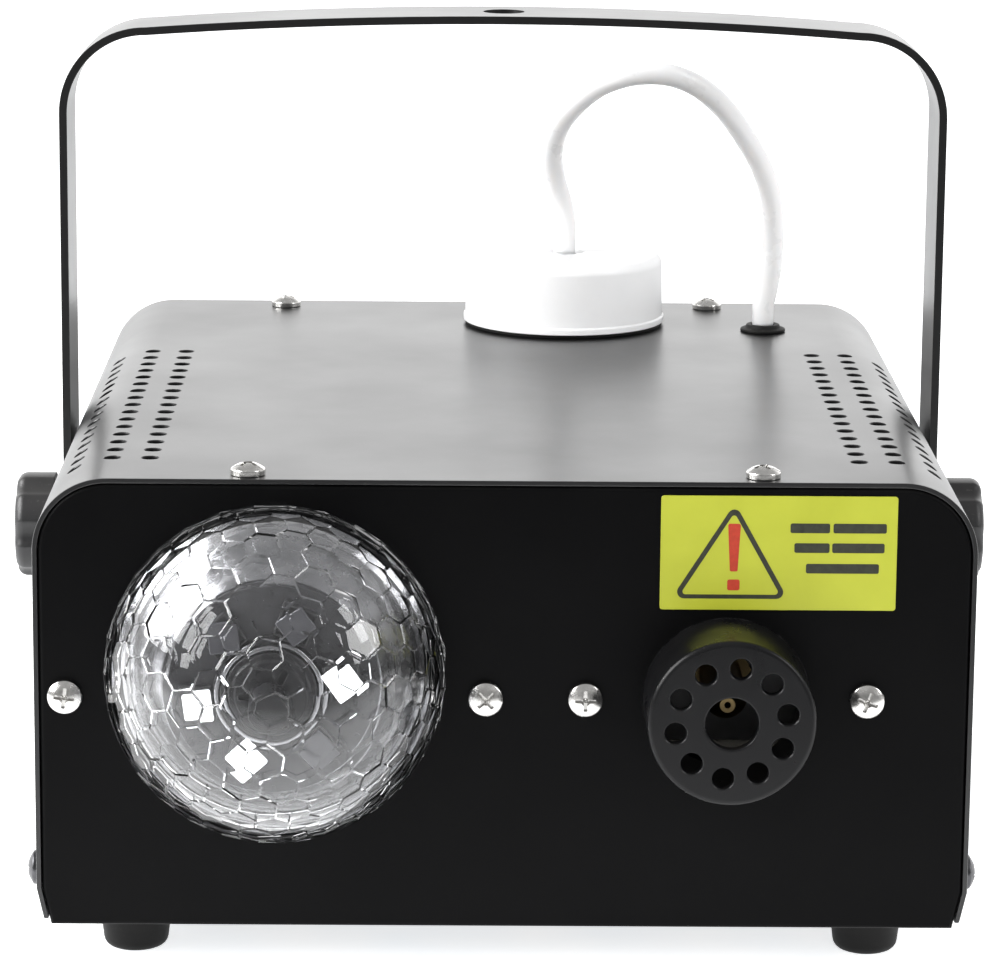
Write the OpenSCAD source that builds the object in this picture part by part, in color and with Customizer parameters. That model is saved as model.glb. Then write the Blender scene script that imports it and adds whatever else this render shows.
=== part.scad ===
// Compact stage fog machine with a turning crystal light dome and a tilting bail.
// Origin: centre of the footprint on the resting surface. +Z is up and the
// outlet side faces -Y. All sizes are millimetres.

/* [Housing] */
// Outer width of the sheet-metal housing
housing_w = 220; // [216:1:224]
// Depth of the housing, front panel to rear panel
housing_d = 246; // [244:1:250]
// Height of the housing above its underside
housing_h = 108; // [106:1:112]
// Outer radius of the two upper long edges
corner_r = 17.5; // [14:0.5:20]
// Sheet thickness of tray, panels and cover
sheet_t = 1.2; // [1:0.1:1.5]

/* [Vents] */
// Diameter of one vent hole
vent_d = 4; // [3:0.5:5]
// Holes in one column
vent_rows = 16; // [8:1:16]
// Distance from hole to hole along a column
vent_pitch = 9.3; // [8.5:0.1:9.5]

/* [Feet] */
// Foot diameter where it meets the tray
foot_d = 18; // [16:1:22]
// Foot height
foot_h = 11; // [9:1:14]
// Half the distance between left and right feet
foot_x = 88; // [80:1:92]
// Distance from the panels to the foot centres
foot_inset = 20; // [16:1:30]

/* [Bail handle] */
// Outer width of the bail
bail_w = 225; // [225:0.5:226]
// Width of the strap
strap_w = 25; // [20:1:28]
// Thickness of the strap
strap_t = 2; // [2:0.1:2.2]
// Height of the bail's top above its pivots
bail_rise = 134.5; // [132:0.5:138]
// Outer radius of the bail's corners
bail_corner_r = 22; // [18:1:24]
// Height of the pivots above the housing's underside
pivot_z = 69.5; // [66:0.5:74]
// Diameter of the hanging hole
hang_hole_d = 10.5; // [8:0.5:12]
// Diameter of the clamping knobs
knob_d = 27; // [24:1:30]
// Height of a clamping knob
knob_h = 11.5; // [9:0.5:14]

/* [Crystal dome] */
// Outer diameter of the clear dome
dome_d = 80; // [76:1:84]
// Distance of the dome's axis from the middle of the housing
dome_x = -53.5; // [-56:0.5:-52]
// Height of the dome's axis above the housing's underside
dome_z = 62.5; // [60:0.5:64]

/* [Fog nozzle] */
// Outer diameter of the nozzle shroud
shroud_d = 39; // [36:1:40]
// Distance that the shroud stands out of the front panel
shroud_reach = 22; // [18:1:26]
// Distance of the nozzle axis from the middle of the housing
nozzle_x = 52; // [50:0.5:54]
// Height of the nozzle axis above the housing's underside
nozzle_z = 56; // [54:0.5:58]

/* [Fluid tank] */
// Diameter of the filler cap
cap_d = 56; // [52:1:58]
// Height of the filler cap
cap_h = 19; // [16:1:20]

/* [Hidden] */

$fn = 48;
fit = 0.3;                                  // gap between sheet parts that nest
running = 0.05;                             // radial clearance of a turning shaft

// Distance from the part's origin to the front panel's outer face
rear_proud = 5;
front_y = -(housing_d + rear_proud - dome_d / 2 - 1) / 2;

// Housing outlines
tray_w = housing_w - 2 * sheet_t - fit;     // the tray's sides stand inside the cover
panel_w = tray_w;
panel_h = housing_h - sheet_t - fit / 2;
taper_h = 9;                                // the lowest part of the sides leans inwards
taper_in = 2;
skirt_z = 1.5;                              // lower ends of the cover
lip_h = 20;                                 // height of the tray's sides
flange_d = 13;                              // depth of the panels' bent edges
screw_front_y = 5.7;                        // top screws, from the front panel
screw_rear_y = housing_d - 9.3;
screw_x = 60;
side_screw_y = 10.5;
side_screw_z = 11;
m4_r = 2;
m4_head_r = 4.1;
m4_head_h = 3;

// Dome and lamp
dome_r = dome_d / 2;
dome_wall = 2;
dome_gap = 1;                               // between the dome's rim and the panel
dome_screw_x = 49.2;
lamp_hole_r = 36.5;
lamp_depth = 16;                            // how far the lamp base stands into the dome
led_pcd_r = 16.8;
led_count = 6;
led_start = 10;                             // angle of the first lens
motor_r = 10.5;
shaft_r = 1.5;

// Nozzle and heater
shroud_r = shroud_d / 2;
shroud_wall = 2.5;
shroud_screw_x = 33;
fog_hole_r = 6.1;
ring_hole_r = 2.5;
ring_hole_pcd_r = 13.1;
ring_holes = 10;
ring_hole_start = 82;
heater_y = 30;
heater_l = 96;
heater_w = 44;
heater_h = 36;
heater_rod_x = 13;
wrap_t = 4;

// Tank, cap and pump
tank_x = 18.5;
tank_y = 213;
tank_w = 84;
tank_d = 60;
tank_z = 6;
tank_top = 96;
tank_wall = 2;
neck_r = 22;
cap_r = cap_d / 2;
gasket_h = 1;
hose_r = 3;
pump_x = 88;
pump_y = 155;
pump_z = 26;
grommet_x = 73.5;
grommet_y = 201;

// Rear fittings, seen along +Y
inlet_x = -74;
inlet_z = 34;
rocker_x = -74;
rocker_z = 80;
rocker_tilt = 9;
button_x = 84;
button_z = 76;

// Middle line of the free hose, from the cap to the grommet, in the part's own frame
HOSE_ROUTE = [
    [18.5, 108, 139], [18.5, 108, 147], [17.5, 107, 153], [15.5, 103, 160], [14.5, 97, 168],
    [16, 90, 176], [20, 82, 183], [26, 75, 189], [33, 70, 192.5], [40, 69, 193.5],
    [47, 70, 192.5], [54, 73, 189], [61, 77, 182.5], [67, 82, 174], [71.5, 86, 166],
    [74.5, 90, 157], [75.5, 93, 148], [75.5, 95, 139], [74.5, 96, 131], [73.5, 96, 126],
    [73.5, 96, 121]
];

// ---------------------------------------------------------------- shared shapes

module in_housing() { translate([0, front_y, foot_h]) children(); }

// Extrudes an outline drawn in X and Z along +Y
module along_y(y, len) {
    translate([0, y + len, 0]) rotate([90, 0, 0]) linear_extrude(len) children();
}

module rod_x(r, len) { rotate([0, 90, 0]) cylinder(r = r, h = len); }
module rod_y(r, len) { rotate([-90, 0, 0]) cylinder(r = r, h = len); }

// Block centred in X and Z that starts at y = 0
module block(w, d, h) { translate([-w / 2, 0, -h / 2]) cube([w, d, h]); }

// Flat sides, two round upper corners, standing on z = 0
module arch(w, h, r) {
    translate([-w / 2, 0]) square([w, h - r]);
    translate([r - w / 2, 0]) square([w - 2 * r, h]);
    for (side = [-1, 1]) translate([side * (w / 2 - r), h - r]) circle(r);
}

// Limits an outline to the housing's sides, which lean inwards at the bottom
module side_limit(w, low) {
    low_w = w - 2 * taper_in * (taper_h - low) / taper_h;
    polygon([[-low_w / 2, low], [low_w / 2, low], [w / 2, taper_h], [w / 2, housing_h],
             [-w / 2, housing_h], [-w / 2, taper_h]]);
}

module stadium(length, r) {
    square([length, 2 * r], center = true);
    for (side = [-1, 1]) translate([side * length / 2, 0]) circle(r);
}

// Pan-head screw: head above z = 0, shank below, with a cross recess
module pan_screw(head_r, head_h, shank_r, shank_l) {
    dome = 2 * head_h;
    difference() {
        union() {
            rotate_extrude() intersection() {
                translate([0, head_h - dome]) circle(dome);
                square([head_r, head_h]);
            }
            translate([0, 0, -shank_l]) cylinder(r = shank_r, h = shank_l);
        }
        for (turn = [0, 90]) rotate([0, 0, turn + 20])
            translate([0, 0, head_h]) cube([head_r * 1.25, head_r * 0.28, head_h], center = true);
    }
}

module m4_screw(shank_l = 7) { pan_screw(m4_head_r, m4_head_h, m4_r, shank_l); }

// Ring of n copies about Z
module ring_of(n, r, start = 0) {
    for (i = [0 : n - 1]) rotate([0, 0, start + i * 360 / n]) translate([r, 0, 0]) children();
}

// ---- tube swept along a route, as one closed polyhedron

function unit(v) = v / norm(v);
function tangent(route, i) =
    unit(route[min(i + 1, len(route) - 1)] - route[max(i - 1, 0)]);
function carried(side, dir) = unit(side - (side * dir) * dir);
function sides_from(route, i, side) =
    i >= len(route) ? [] :
    let (next = carried(side, tangent(route, i))) concat([next], sides_from(route, i + 1, next));

module tube(route, r, first_side, n = 10) {
    sides = sides_from(route, 0, first_side);
    last = len(route) - 1;
    points = [for (i = [0 : last]) for (k = [0 : n - 1])
        let (a = 360 * k / n, up = cross(tangent(route, i), sides[i]))
        route[i] + r * (cos(a) * sides[i] + sin(a) * up)];
    walls = [for (i = [0 : last - 1]) for (k = [0 : n - 1])
        let (a = i * n + k, b = i * n + (k + 1) % n)
        each [[a, b, b + n], [a, b + n, a + n]]];
    caps = [[for (k = [0 : n - 1]) n - 1 - k], [for (k = [0 : n - 1]) last * n + k]];
    polyhedron(points, [for (face = concat(walls, caps)) [for (i = face) i]]);
}

// Points on a smooth curve through a few route points
function curve_point(a, b, c, d, t) =
    0.5 * (2 * b + (c - a) * t + (2 * a - 5 * b + 4 * c - d) * t * t
           + (3 * b - a - 3 * c + d) * t * t * t);
function smooth(route, steps = 4) = [
    for (i = [0 : len(route) - 2]) for (s = [0 : steps - 1])
        curve_point(route[max(i - 1, 0)], route[i], route[i + 1],
                    route[min(i + 2, len(route) - 1)], s / steps),
    route[len(route) - 1]];

// Round wire spring that stands on z = 0
module wire_spring(r, wire_r, turns, height) {
    steps = 14 * turns;
    route = [for (i = [0 : steps])
        let (a = 360 * turns * i / steps)
        [r * cos(a), r * sin(a), wire_r + (height - 2 * wire_r) * i / steps]];
    tube(route, wire_r, [1, 0, 0], 6);
}

// ---------------------------------------------------------------- housing

module base_tray() color([0.09, 0.09, 0.09]) in_housing() difference() {
    inner_w = tray_w - 2 * sheet_t;
    along_y(sheet_t, housing_d - 2 * sheet_t) difference() {
        intersection() {
            translate([-tray_w / 2, 0]) square([tray_w, lip_h]);
            side_limit(tray_w, 0);
        }
        translate([0, sheet_t]) intersection() {
            translate([-inner_w / 2, 0]) square([inner_w, lip_h]);
            side_limit(inner_w, 0);
        }
    }
    // shank holes of the feet and of the side screws
    for (side = [-1, 1], y = [foot_inset, housing_d - foot_inset])
        translate([side * foot_x, y, -1]) cylinder(r = m4_r, h = 4);
    for (y = [side_screw_y, housing_d - side_screw_y])
        translate([-housing_w, y, side_screw_z]) rod_x(m4_r, 2 * housing_w);
}

module panel_outline(inset = 0) intersection() {
    arch(panel_w - 2 * inset, panel_h - inset, corner_r - sheet_t - fit / 2 - inset);
    side_limit(panel_w - 2 * inset, 0);
}

// Flat panel with a bent edge that reaches inwards, above the tray's sides
module panel_sheet() {
    along_y(0, sheet_t) panel_outline();
    along_y(sheet_t, flange_d - sheet_t) difference() {
        panel_outline();
        panel_outline(sheet_t);
        translate([-housing_w, -1]) square([2 * housing_w, lip_h + 1 + fit]);
    }
}

module front_panel() color([0.07, 0.07, 0.07]) in_housing() difference() {
    panel_sheet();
    translate([dome_x, -1, dome_z]) rod_y(lamp_hole_r, 3);
    translate([nozzle_x, -1, nozzle_z]) rod_y(shroud_r + running, 3);
    for (side = [-1, 1]) {
        translate([dome_x + side * dome_screw_x, -1, nozzle_z]) rod_y(m4_r, 3);
        translate([nozzle_x + side * shroud_screw_x, -1, nozzle_z]) rod_y(m4_r, 3);
        translate([side * screw_x, screw_front_y, housing_h - 5]) cylinder(r = m4_r, h = 5);
    }
}

module rear_panel() color([0.07, 0.07, 0.07]) in_housing() difference() {
    translate([0, housing_d, 0]) mirror([0, 1, 0]) panel_sheet();
    translate([inlet_x, housing_d - 2, inlet_z]) block(27.6, 4, 31.6);
    translate([rocker_x, housing_d - 2, rocker_z]) block(18.4, 4, 12.4);
    translate([button_x, housing_d - 2, button_z]) rod_y(6.1, 4);
    translate([tank_x, tank_y, housing_h - 5]) cylinder(r = neck_r + fit, h = 5);
    for (side = [-1, 1])
        translate([side * screw_x, screw_rear_y, housing_h - 5]) cylinder(r = m4_r, h = 5);
}

// One side's vent holes: two columns on the flat top, one on the round corner
module vent_field() {
    first_y = 24;
    flat_columns = [84, 93];
    corner_turn = 33;
    for (row = [0 : vent_rows - 1]) translate([0, first_y + row * vent_pitch, 0]) {
        for (x = flat_columns)
            translate([x, 0, housing_h - 3]) cylinder(d = vent_d, h = 6);
        translate([housing_w / 2 - corner_r, 0, housing_h - corner_r])
            rotate([0, corner_turn, 0])
            translate([0, 0, corner_r - 3]) cylinder(d = vent_d, h = 6);
    }
}

module top_cover() color([0.12, 0.12, 0.12]) in_housing() difference() {
    along_y(0, housing_d) difference() {
        intersection() {
            arch(housing_w, housing_h, corner_r);
            side_limit(housing_w, skirt_z);
        }
        intersection() {
            arch(housing_w - 2 * sheet_t, housing_h - sheet_t, corner_r - sheet_t);
            side_limit(housing_w - 2 * sheet_t, 0);
        }
    }
    vent_field();
    mirror([1, 0, 0]) vent_field();
    for (side = [-1, 1], y = [screw_front_y, screw_rear_y])
        translate([side * screw_x, y, housing_h - 3]) cylinder(r = m4_r, h = 6);
    for (y = [side_screw_y, housing_d - side_screw_y])
        translate([-housing_w, y, side_screw_z]) rod_x(m4_r, 2 * housing_w);
    translate([-housing_w, housing_d / 2, pivot_z]) rod_x(3.2, 2 * housing_w);
    translate([tank_x, tank_y, housing_h - 3]) cylinder(r = neck_r + fit, h = 6);
    translate([grommet_x, grommet_y, housing_h - 3]) cylinder(r = 4.6, h = 6);
}

module top_screws() color([0.75, 0.75, 0.76]) in_housing()
    for (side = [-1, 1], y = [screw_front_y, screw_rear_y])
        translate([side * screw_x, y, housing_h]) m4_screw();

module side_screws() color([0.2, 0.2, 0.2]) in_housing()
    for (side = [-1, 1], y = [side_screw_y, housing_d - side_screw_y])
        translate([side * housing_w / 2, y, side_screw_z]) rotate([0, side * 90, 0]) m4_screw();

module front_screws() color([0.75, 0.75, 0.76]) in_housing() {
    for (side = [-1, 1], x = [dome_x + side * dome_screw_x, nozzle_x + side * shroud_screw_x])
        translate([x, 0, nozzle_z]) rotate([90, 0, 0]) m4_screw(6);
}

module rubber_feet() color([0.06, 0.06, 0.06]) in_housing()
    for (side = [-1, 1], y = [foot_inset, housing_d - foot_inset])
        translate([side * foot_x, y, -foot_h]) difference() {
            tip_r = foot_d / 2 - 1.5;
            edge_r = 2.5;
            rotate_extrude() polygon(concat(
                [[0, 0]],
                [for (a = [-90 : 18 : 0]) [tip_r - edge_r + edge_r * cos(a),
                                           edge_r + edge_r * sin(a)]],
                [[foot_d / 2, foot_h], [0, foot_h]]));
            translate([0, 0, -1]) cylinder(r = 4.2, h = 6);
            cylinder(r = m4_r, h = foot_h + 1);
        }

module foot_screws() color([0.6, 0.6, 0.6]) in_housing()
    for (side = [-1, 1], y = [foot_inset, housing_d - foot_inset])
        translate([side * foot_x, y, 5 - foot_h]) mirror([0, 0, 1]) pan_screw(3.9, 2.6, m4_r, 9);

// ---------------------------------------------------------------- bail handle

crown_r = 1200;                             // the top of the bail is slightly crowned
stud_r = 3;
washer_t = 1.5;
friction_t = 0.4;

// Everything on the pivot axis is drawn for the right side, +X outwards
module at_pivot() in_housing() translate([0, housing_d / 2, pivot_z]) children();

// Outline of the bail, open downwards; the corners meet the crown a little lower
module bail_profile(inset) intersection() {
    half_top = bail_w / 2 - bail_corner_r;
    side_h = bail_rise - pow(half_top, 2) / (2 * crown_r);
    union() {
        arch(bail_w - 2 * inset, side_h - inset, bail_corner_r - inset);
        translate([-half_top, 0]) square([2 * half_top, bail_rise - inset]);
        translate([inset - bail_w / 2, -strap_w]) square([bail_w - 2 * inset, strap_w + 1]);
    }
    translate([0, bail_rise - crown_r]) circle(crown_r - inset, $fn = 360);
}

module bail_handle() color([0.1, 0.1, 0.1]) at_pivot() difference() {
    intersection() {
        along_y(-strap_w / 2, strap_w) difference() {
            bail_profile(0);
            bail_profile(strap_t);
        }
        union() {
            translate([-bail_w, 0, 0]) rod_x(strap_w / 2, 2 * bail_w);
            translate([-bail_w, -strap_w / 2, 0]) cube([2 * bail_w, strap_w, bail_rise + 1]);
        }
    }
    translate([-bail_w, 0, 0]) rod_x(stud_r + 2 * running, 2 * bail_w);
    translate([0, 0, bail_rise - 2 * strap_t]) cylinder(d = hang_hole_d, h = 4 * strap_t);
}

module ring_x(inner_r, outer_r, len) difference() {
    rod_x(outer_r, len);
    translate([-1, 0, 0]) rod_x(inner_r, len + 2);
}

module friction_washers() color([0.3, 0.3, 0.3]) at_pivot() for (side = [0, 1])
    mirror([side, 0, 0]) translate([housing_w / 2, 0, 0]) ring_x(3.2, 10, friction_t);

module captive_nuts() color([0.7, 0.7, 0.72]) at_pivot() for (side = [0, 1])
    mirror([side, 0, 0]) translate([housing_w / 2 - sheet_t - 5, 0, 0]) difference() {
        rotate([0, 90, 0]) cylinder(r = 6, h = 5, $fn = 6);
        translate([-1, 0, 0]) rod_x(stud_r + running, 7);
    }

module clamp_washer() at_pivot() translate([bail_w / 2, 0, 0])
    ring_x(stud_r + running, 9, washer_t);

// Knob with six shallow finger grooves; its stud is moulded in
module clamp_knob() at_pivot() translate([bail_w / 2 + washer_t, 0, 0]) difference() {
    rotate([0, 90, 0]) rotate_extrude() {
        edge_r = 2.5;
        difference() {
            square([knob_d / 2, knob_h]);
            translate([knob_d / 2 - edge_r, knob_h - edge_r]) difference() {
                square(edge_r + 1);
                circle(edge_r);
            }
            translate([knob_d / 2 - 2, -1]) square([3, 2.5]);
            translate([-1, -1]) square([stud_r + 1, knob_h - 3]);
        }
    }
    rotate([0, 90, 0]) ring_of(6, knob_d / 2 + 5.2) translate([0, 0, -1])
        cylinder(r = 6.4, h = knob_h + 2);
}

module clamp_stud() at_pivot() translate([housing_w / 2 - sheet_t - 5, 0, 0])
    rod_x(stud_r, bail_w / 2 + washer_t + knob_h - 4 - housing_w / 2 + sheet_t + 5);

module clamp_washer_right() color([0.85, 0.85, 0.82]) clamp_washer();
module clamp_washer_left() color([0.85, 0.85, 0.82]) mirror([1, 0, 0]) clamp_washer();
module clamp_knob_right() color([0.05, 0.05, 0.05]) clamp_knob();
module clamp_knob_left() color([0.05, 0.05, 0.05]) mirror([1, 0, 0]) clamp_knob();
module clamp_stud_right() color([0.7, 0.7, 0.72]) clamp_stud();
module clamp_stud_left() color([0.7, 0.7, 0.72]) mirror([1, 0, 0]) clamp_stud();

// ---------------------------------------------------------------- crystal dome

// On the dome's axis: local +Z points out of the front panel
module at_dome() in_housing() translate([dome_x, 0, dome_z]) rotate([90, 0, 0]) children();

module crystal_dome() color([0.85, 0.9, 0.95, 0.4]) at_dome() translate([0, 0, dome_gap])
    rotate_extrude() difference() {
        intersection() {
            circle(dome_r);
            square([dome_r, dome_r]);
        }
        circle(dome_r - dome_wall);
    }

// Boss under the dome's pole with the motor's output shaft pressed into it
module dome_hub() color([0.75, 0.75, 0.78]) at_dome() {
    hub_low = 26;
    intersection() {
        translate([0, 0, hub_low]) cylinder(r = 4.5, h = dome_r);
        translate([0, 0, dome_gap]) sphere(dome_r - dome_wall);
    }
    translate([0, 0, 12]) cylinder(r = shaft_r, h = hub_low - 12 + 1);
}

module dome_motor() color([0.15, 0.15, 0.15]) at_dome() difference() {
    union() {
        translate([0, 0, -14]) cylinder(r = motor_r, h = 14 + lamp_depth + 8);
        translate([0, 0, -24]) cylinder(r = 14, h = 16);
    }
    translate([0, 0, 11]) cylinder(r = shaft_r + running, h = 20);
}

module lamp_base() color([0.82, 0.82, 0.84]) at_dome() rotate_extrude() polygon([
    [lamp_hole_r - 8, -sheet_t], [lamp_hole_r - 0.2, -sheet_t], [lamp_hole_r - 0.2, 0.8],
    [34, 2.5], [25, lamp_depth], [motor_r + 0.3, lamp_depth], [motor_r + 0.3, lamp_depth - 2],
    [23.6, lamp_depth - 2], [31, 1.2], [lamp_hole_r - 8, 1.2]]);

module lamp_bracket() color([0.7, 0.7, 0.7]) in_housing() difference() {
    along_y(sheet_t, 1.5) union() {
        translate([dome_x, nozzle_z]) stadium(2 * dome_screw_x, 4.5);
        translate([dome_x, dome_z]) circle(32);
    }
    translate([dome_x, 0, dome_z]) rod_y(motor_r + 0.1, 5);
    for (side = [-1, 1]) translate([dome_x + side * dome_screw_x, 0, nozzle_z]) rod_y(m4_r, 5);
}

module led_board() color([0.92, 0.92, 0.9]) at_dome() translate([0, 0, lamp_depth]) difference() {
    cylinder(r = 24.5, h = 1.6);
    translate([0, 0, -1]) cylinder(r = motor_r + 0.3, h = 4);
}

module led_lenses() color([0.95, 0.95, 1, 0.6]) at_dome() translate([0, 0, lamp_depth + 1.6])
    ring_of(led_count, led_pcd_r, led_start) {
        cylinder(r1 = 2.6, r2 = 4.2, h = 4);
        translate([0, 0, 4]) cylinder(r = 4.2, h = 1);
    }

// ---------------------------------------------------------------- nozzle and heater

// On the nozzle's axis: local +Z points out of the front panel
module at_nozzle() in_housing() translate([nozzle_x, 0, nozzle_z]) rotate([90, 0, 0]) children();

module nozzle_shroud() color([0.06, 0.06, 0.06]) at_nozzle() difference() {
    flange_t = 3;
    union() {
        translate([0, 0, -sheet_t]) rotate_extrude() difference() {
            square([shroud_r, shroud_reach + sheet_t]);
            translate([shroud_r - 1.3, shroud_reach + sheet_t - 1.3]) difference() {
                square(3);
                circle(1.3);
            }
        }
        translate([0, 0, -sheet_t - flange_t]) linear_extrude(flange_t)
            stadium(2 * shroud_screw_x, 6.5);
        translate([0, 0, -sheet_t - flange_t]) cylinder(r = shroud_r + 2, h = flange_t);
    }
    translate([0, 0, -8]) cylinder(r = shroud_r - shroud_wall, h = 8 + shroud_reach - 2.5);
    cylinder(r = fog_hole_r, h = shroud_reach + 1);
    ring_of(ring_holes, ring_hole_pcd_r, ring_hole_start) cylinder(r = ring_hole_r, h = shroud_reach + 1);
    for (side = [-1, 1]) translate([side * shroud_screw_x, 0, -8]) cylinder(r = m4_r, h = 10);
}

// Brass jet; its small tip ends inside the shroud, behind the middle hole
module outlet_nozzle() color([0.75, 0.6, 0.3]) at_nozzle() difference() {
    tip_r = 1.8;
    union() {
        translate([0, 0, -heater_y]) cylinder(r = 5, h = heater_y - 2);
        translate([0, 0, -heater_y]) cylinder(r = 8, h = 6, $fn = 6);
        rotate_extrude() polygon([[0, -2.5], [5, -2.5], [5, -2], [tip_r, 3], [tip_r, 5], [0, 5]]);
    }
    translate([0, 0, -heater_y - 1]) cylinder(r = 0.8, h = heater_y + 8);
}

module heater_block() color([0.75, 0.75, 0.76]) in_housing()
    translate([nozzle_x, heater_y, nozzle_z]) difference() {
        block(heater_w, heater_l, heater_h);
        translate([0, -1, 0]) rod_y(1.5, heater_l + 2);
        for (side = [-1, 1]) translate([side * heater_rod_x, 10, 0]) rod_y(4.1, heater_l);
    }

module cartridge_heaters() color([0.55, 0.52, 0.5]) in_housing()
    for (side = [-1, 1]) translate([nozzle_x + side * heater_rod_x, heater_y + 10.2, nozzle_z]) {
        rod_y(4, heater_l - 8);
        translate([0, heater_l - 8, 0]) rod_y(2.5, 4);
    }

// Two bent steel feet that carry the hot block clear of the tray
module heater_brackets() color([0.72, 0.72, 0.72]) in_housing()
    for (y = [heater_y + 8, heater_y + heater_l - 23]) {
        leg_h = nozzle_z - heater_h / 2 - wrap_t - 2 * sheet_t;
        translate([nozzle_x - 14, y, sheet_t]) cube([28, 15, sheet_t]);
        for (side = [-1, 1]) translate([nozzle_x + side * 13.4 - 0.6, y, 2 * sheet_t])
            cube([sheet_t, 15, leg_h]);
        translate([nozzle_x - 14, y, 2 * sheet_t + leg_h - sheet_t])
            cube([28, 15, sheet_t]);
    }

module insulation_wrap() color([0.93, 0.9, 0.8]) in_housing()
    translate([nozzle_x, heater_y + 2, nozzle_z]) difference() {
        block(heater_w + 2 * wrap_t, heater_l - 4, heater_h + 2 * wrap_t);
        translate([0, -1, 0]) block(heater_w, heater_l, heater_h);
        translate([0, heater_l / 2, heater_h / 2 - 1]) cylinder(r = 9, h = wrap_t + 2);
    }

module thermostat() color([0.55, 0.5, 0.45]) in_housing()
    translate([nozzle_x, heater_y + 2 + heater_l / 2, nozzle_z + heater_h / 2]) {
        cylinder(r = 8, h = 8);
        for (side = [-1, 1]) translate([side * 4 - 0.4, -2, 8]) cube([0.8, 4, 7]);
    }

module thermal_fuse() color([0.85, 0.85, 0.8]) in_housing()
    translate([nozzle_x - heater_w / 2 - wrap_t - 2.2, heater_y + 40, nozzle_z]) {
        rod_y(2.2, 12);
        translate([0, -8, 0]) rod_y(0.6, 28);
    }

// ---------------------------------------------------------------- pump and pipes

module at_pump() in_housing() translate([pump_x, pump_y, pump_z]) children();

module pump_yoke() color([0.6, 0.6, 0.62]) at_pump() difference() {
    yoke_h = 44;
    translate([-15, -13, 0]) cube([30, 26, yoke_h]);
    translate([-13, -14, 2]) cube([26, 28, yoke_h - 4]);
    translate([0, 0, -1]) cylinder(r = 5.9, h = yoke_h + 2);
}

module pump_coil() color([0.75, 0.4, 0.15]) at_pump() translate([0, 0, 2]) difference() {
    union() {
        cylinder(r = 12.6, h = 2);
        cylinder(r = 11.6, h = 40);
        translate([0, 0, 38]) cylinder(r = 12.6, h = 2);
    }
    translate([0, 0, -1]) cylinder(r = 5.9, h = 42);
}

// Brass guide tube with a barbed inlet on top and a barbed outlet below
module pump_tube() color([0.78, 0.62, 0.3]) at_pump() difference() {
    union() {
        translate([0, 0, -8]) cylinder(r = 5.8, h = 60);
        translate([0, 0, -8 - 6]) cylinder(r = 1.9, h = 6);
        translate([0, 0, 52]) cylinder(r = 1.9, h = 6);
    }
    translate([0, 0, -4]) cylinder(r = 4.6, h = 52);
    translate([0, 0, -20]) cylinder(r = 1, h = 90);
}

module pump_plunger() color([0.62, 0.64, 0.66]) at_pump() difference() {
    translate([0, 0, 18]) cylinder(r = 4.5, h = 24);
    translate([0, 0, 17]) cylinder(r = 1.2, h = 26);
}

module pump_spring() color([0.8, 0.8, 0.82]) at_pump() translate([0, 0, -3.9])
    wire_spring(3.4, 0.45, 7, 21.8);

module outlet_tube() color([0.92, 0.92, 0.9]) in_housing() {
    back = heater_y + heater_l;
    low = pump_z - 14;
    tube(smooth([[pump_x, pump_y, low], [pump_x, pump_y, low - 1], [pump_x, pump_y, low - 3],
                 [pump_x - 5, pump_y - 1, 5.6],
                 [pump_x - 14, pump_y - 2, 5.2], [pump_x - 26, pump_y - 2, 10],
                 [nozzle_x + 1, back + 22, 24], [nozzle_x, back + 17, 42],
                 [nozzle_x, back + 8, 54], [nozzle_x, back, nozzle_z]]), 2, [1, 0, 0], 8);
}

module hose_grommet() color([0.05, 0.05, 0.05]) in_housing()
    translate([grommet_x, grommet_y, housing_h]) rotate_extrude() polygon([
        [3.2, -sheet_t - 1.5], [5.6, -sheet_t - 1.5], [5.6, -sheet_t], [4.6, -sheet_t],
        [4.6, 0], [6.2, 0], [6.2, 0.8], [4.6, 2], [3.2, 2]]);

module pump_hose() color([0.9, 0.9, 0.88]) in_housing() {
    rise = pump_z + 58 + running;
    top = housing_h + 2 - running;
    tube(smooth([[grommet_x, grommet_y, top], [grommet_x, grommet_y, top - 3],
                 [grommet_x, grommet_y, housing_h - 6],
                 [grommet_x, grommet_y - 1, housing_h - 14],
                 [grommet_x + 3, grommet_y - 8, housing_h - 17],
                 [pump_x - 5, pump_y + 30, housing_h - 11], [pump_x, pump_y + 16, housing_h - 8],
                 [pump_x, pump_y + 5, housing_h - 10],
                 [pump_x, pump_y, rise + 5], [pump_x, pump_y, rise + 2],
                 [pump_x, pump_y, rise]]), 2.9, [1, 0, 0], 10);
}

module fluid_hose() color([0.95, 0.95, 0.94, 0.7]) tube(smooth(HOSE_ROUTE, 2), hose_r, [1, 0, 0], 10);

// ---------------------------------------------------------------- fluid tank

module at_tank() in_housing() translate([tank_x, tank_y, 0]) children();

module rounded_box(w, d, h, r) linear_extrude(h) {
    square([w - 2 * r, d], center = true);
    square([w, d - 2 * r], center = true);
    for (x = [-1, 1], y = [-1, 1]) translate([x * (w / 2 - r), y * (d / 2 - r)]) circle(r);
}

module fluid_tank() color([0.93, 0.93, 0.9, 0.8]) at_tank() difference() {
    neck_top = housing_h + cap_h - 5;
    union() {
        translate([0, 0, tank_z]) rounded_box(tank_w, tank_d, tank_top - tank_z, 8);
        translate([0, 0, tank_top]) cylinder(r = neck_r, h = neck_top - tank_top);
    }
    translate([0, 0, tank_z + tank_wall])
        rounded_box(tank_w - 2 * tank_wall, tank_d - 2 * tank_wall,
                    tank_top - tank_z - 2 * tank_wall, 6);
    translate([0, 0, tank_top - tank_wall - 1]) cylinder(r = neck_r - 3, h = 40);
}

module neck_gasket() color([0.12, 0.12, 0.12]) at_tank() translate([0, 0, housing_h])
    difference() {
        cylinder(r = cap_r - 0.6, h = gasket_h);
        translate([0, 0, -1]) cylinder(r = neck_r + fit, h = 4);
    }

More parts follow.
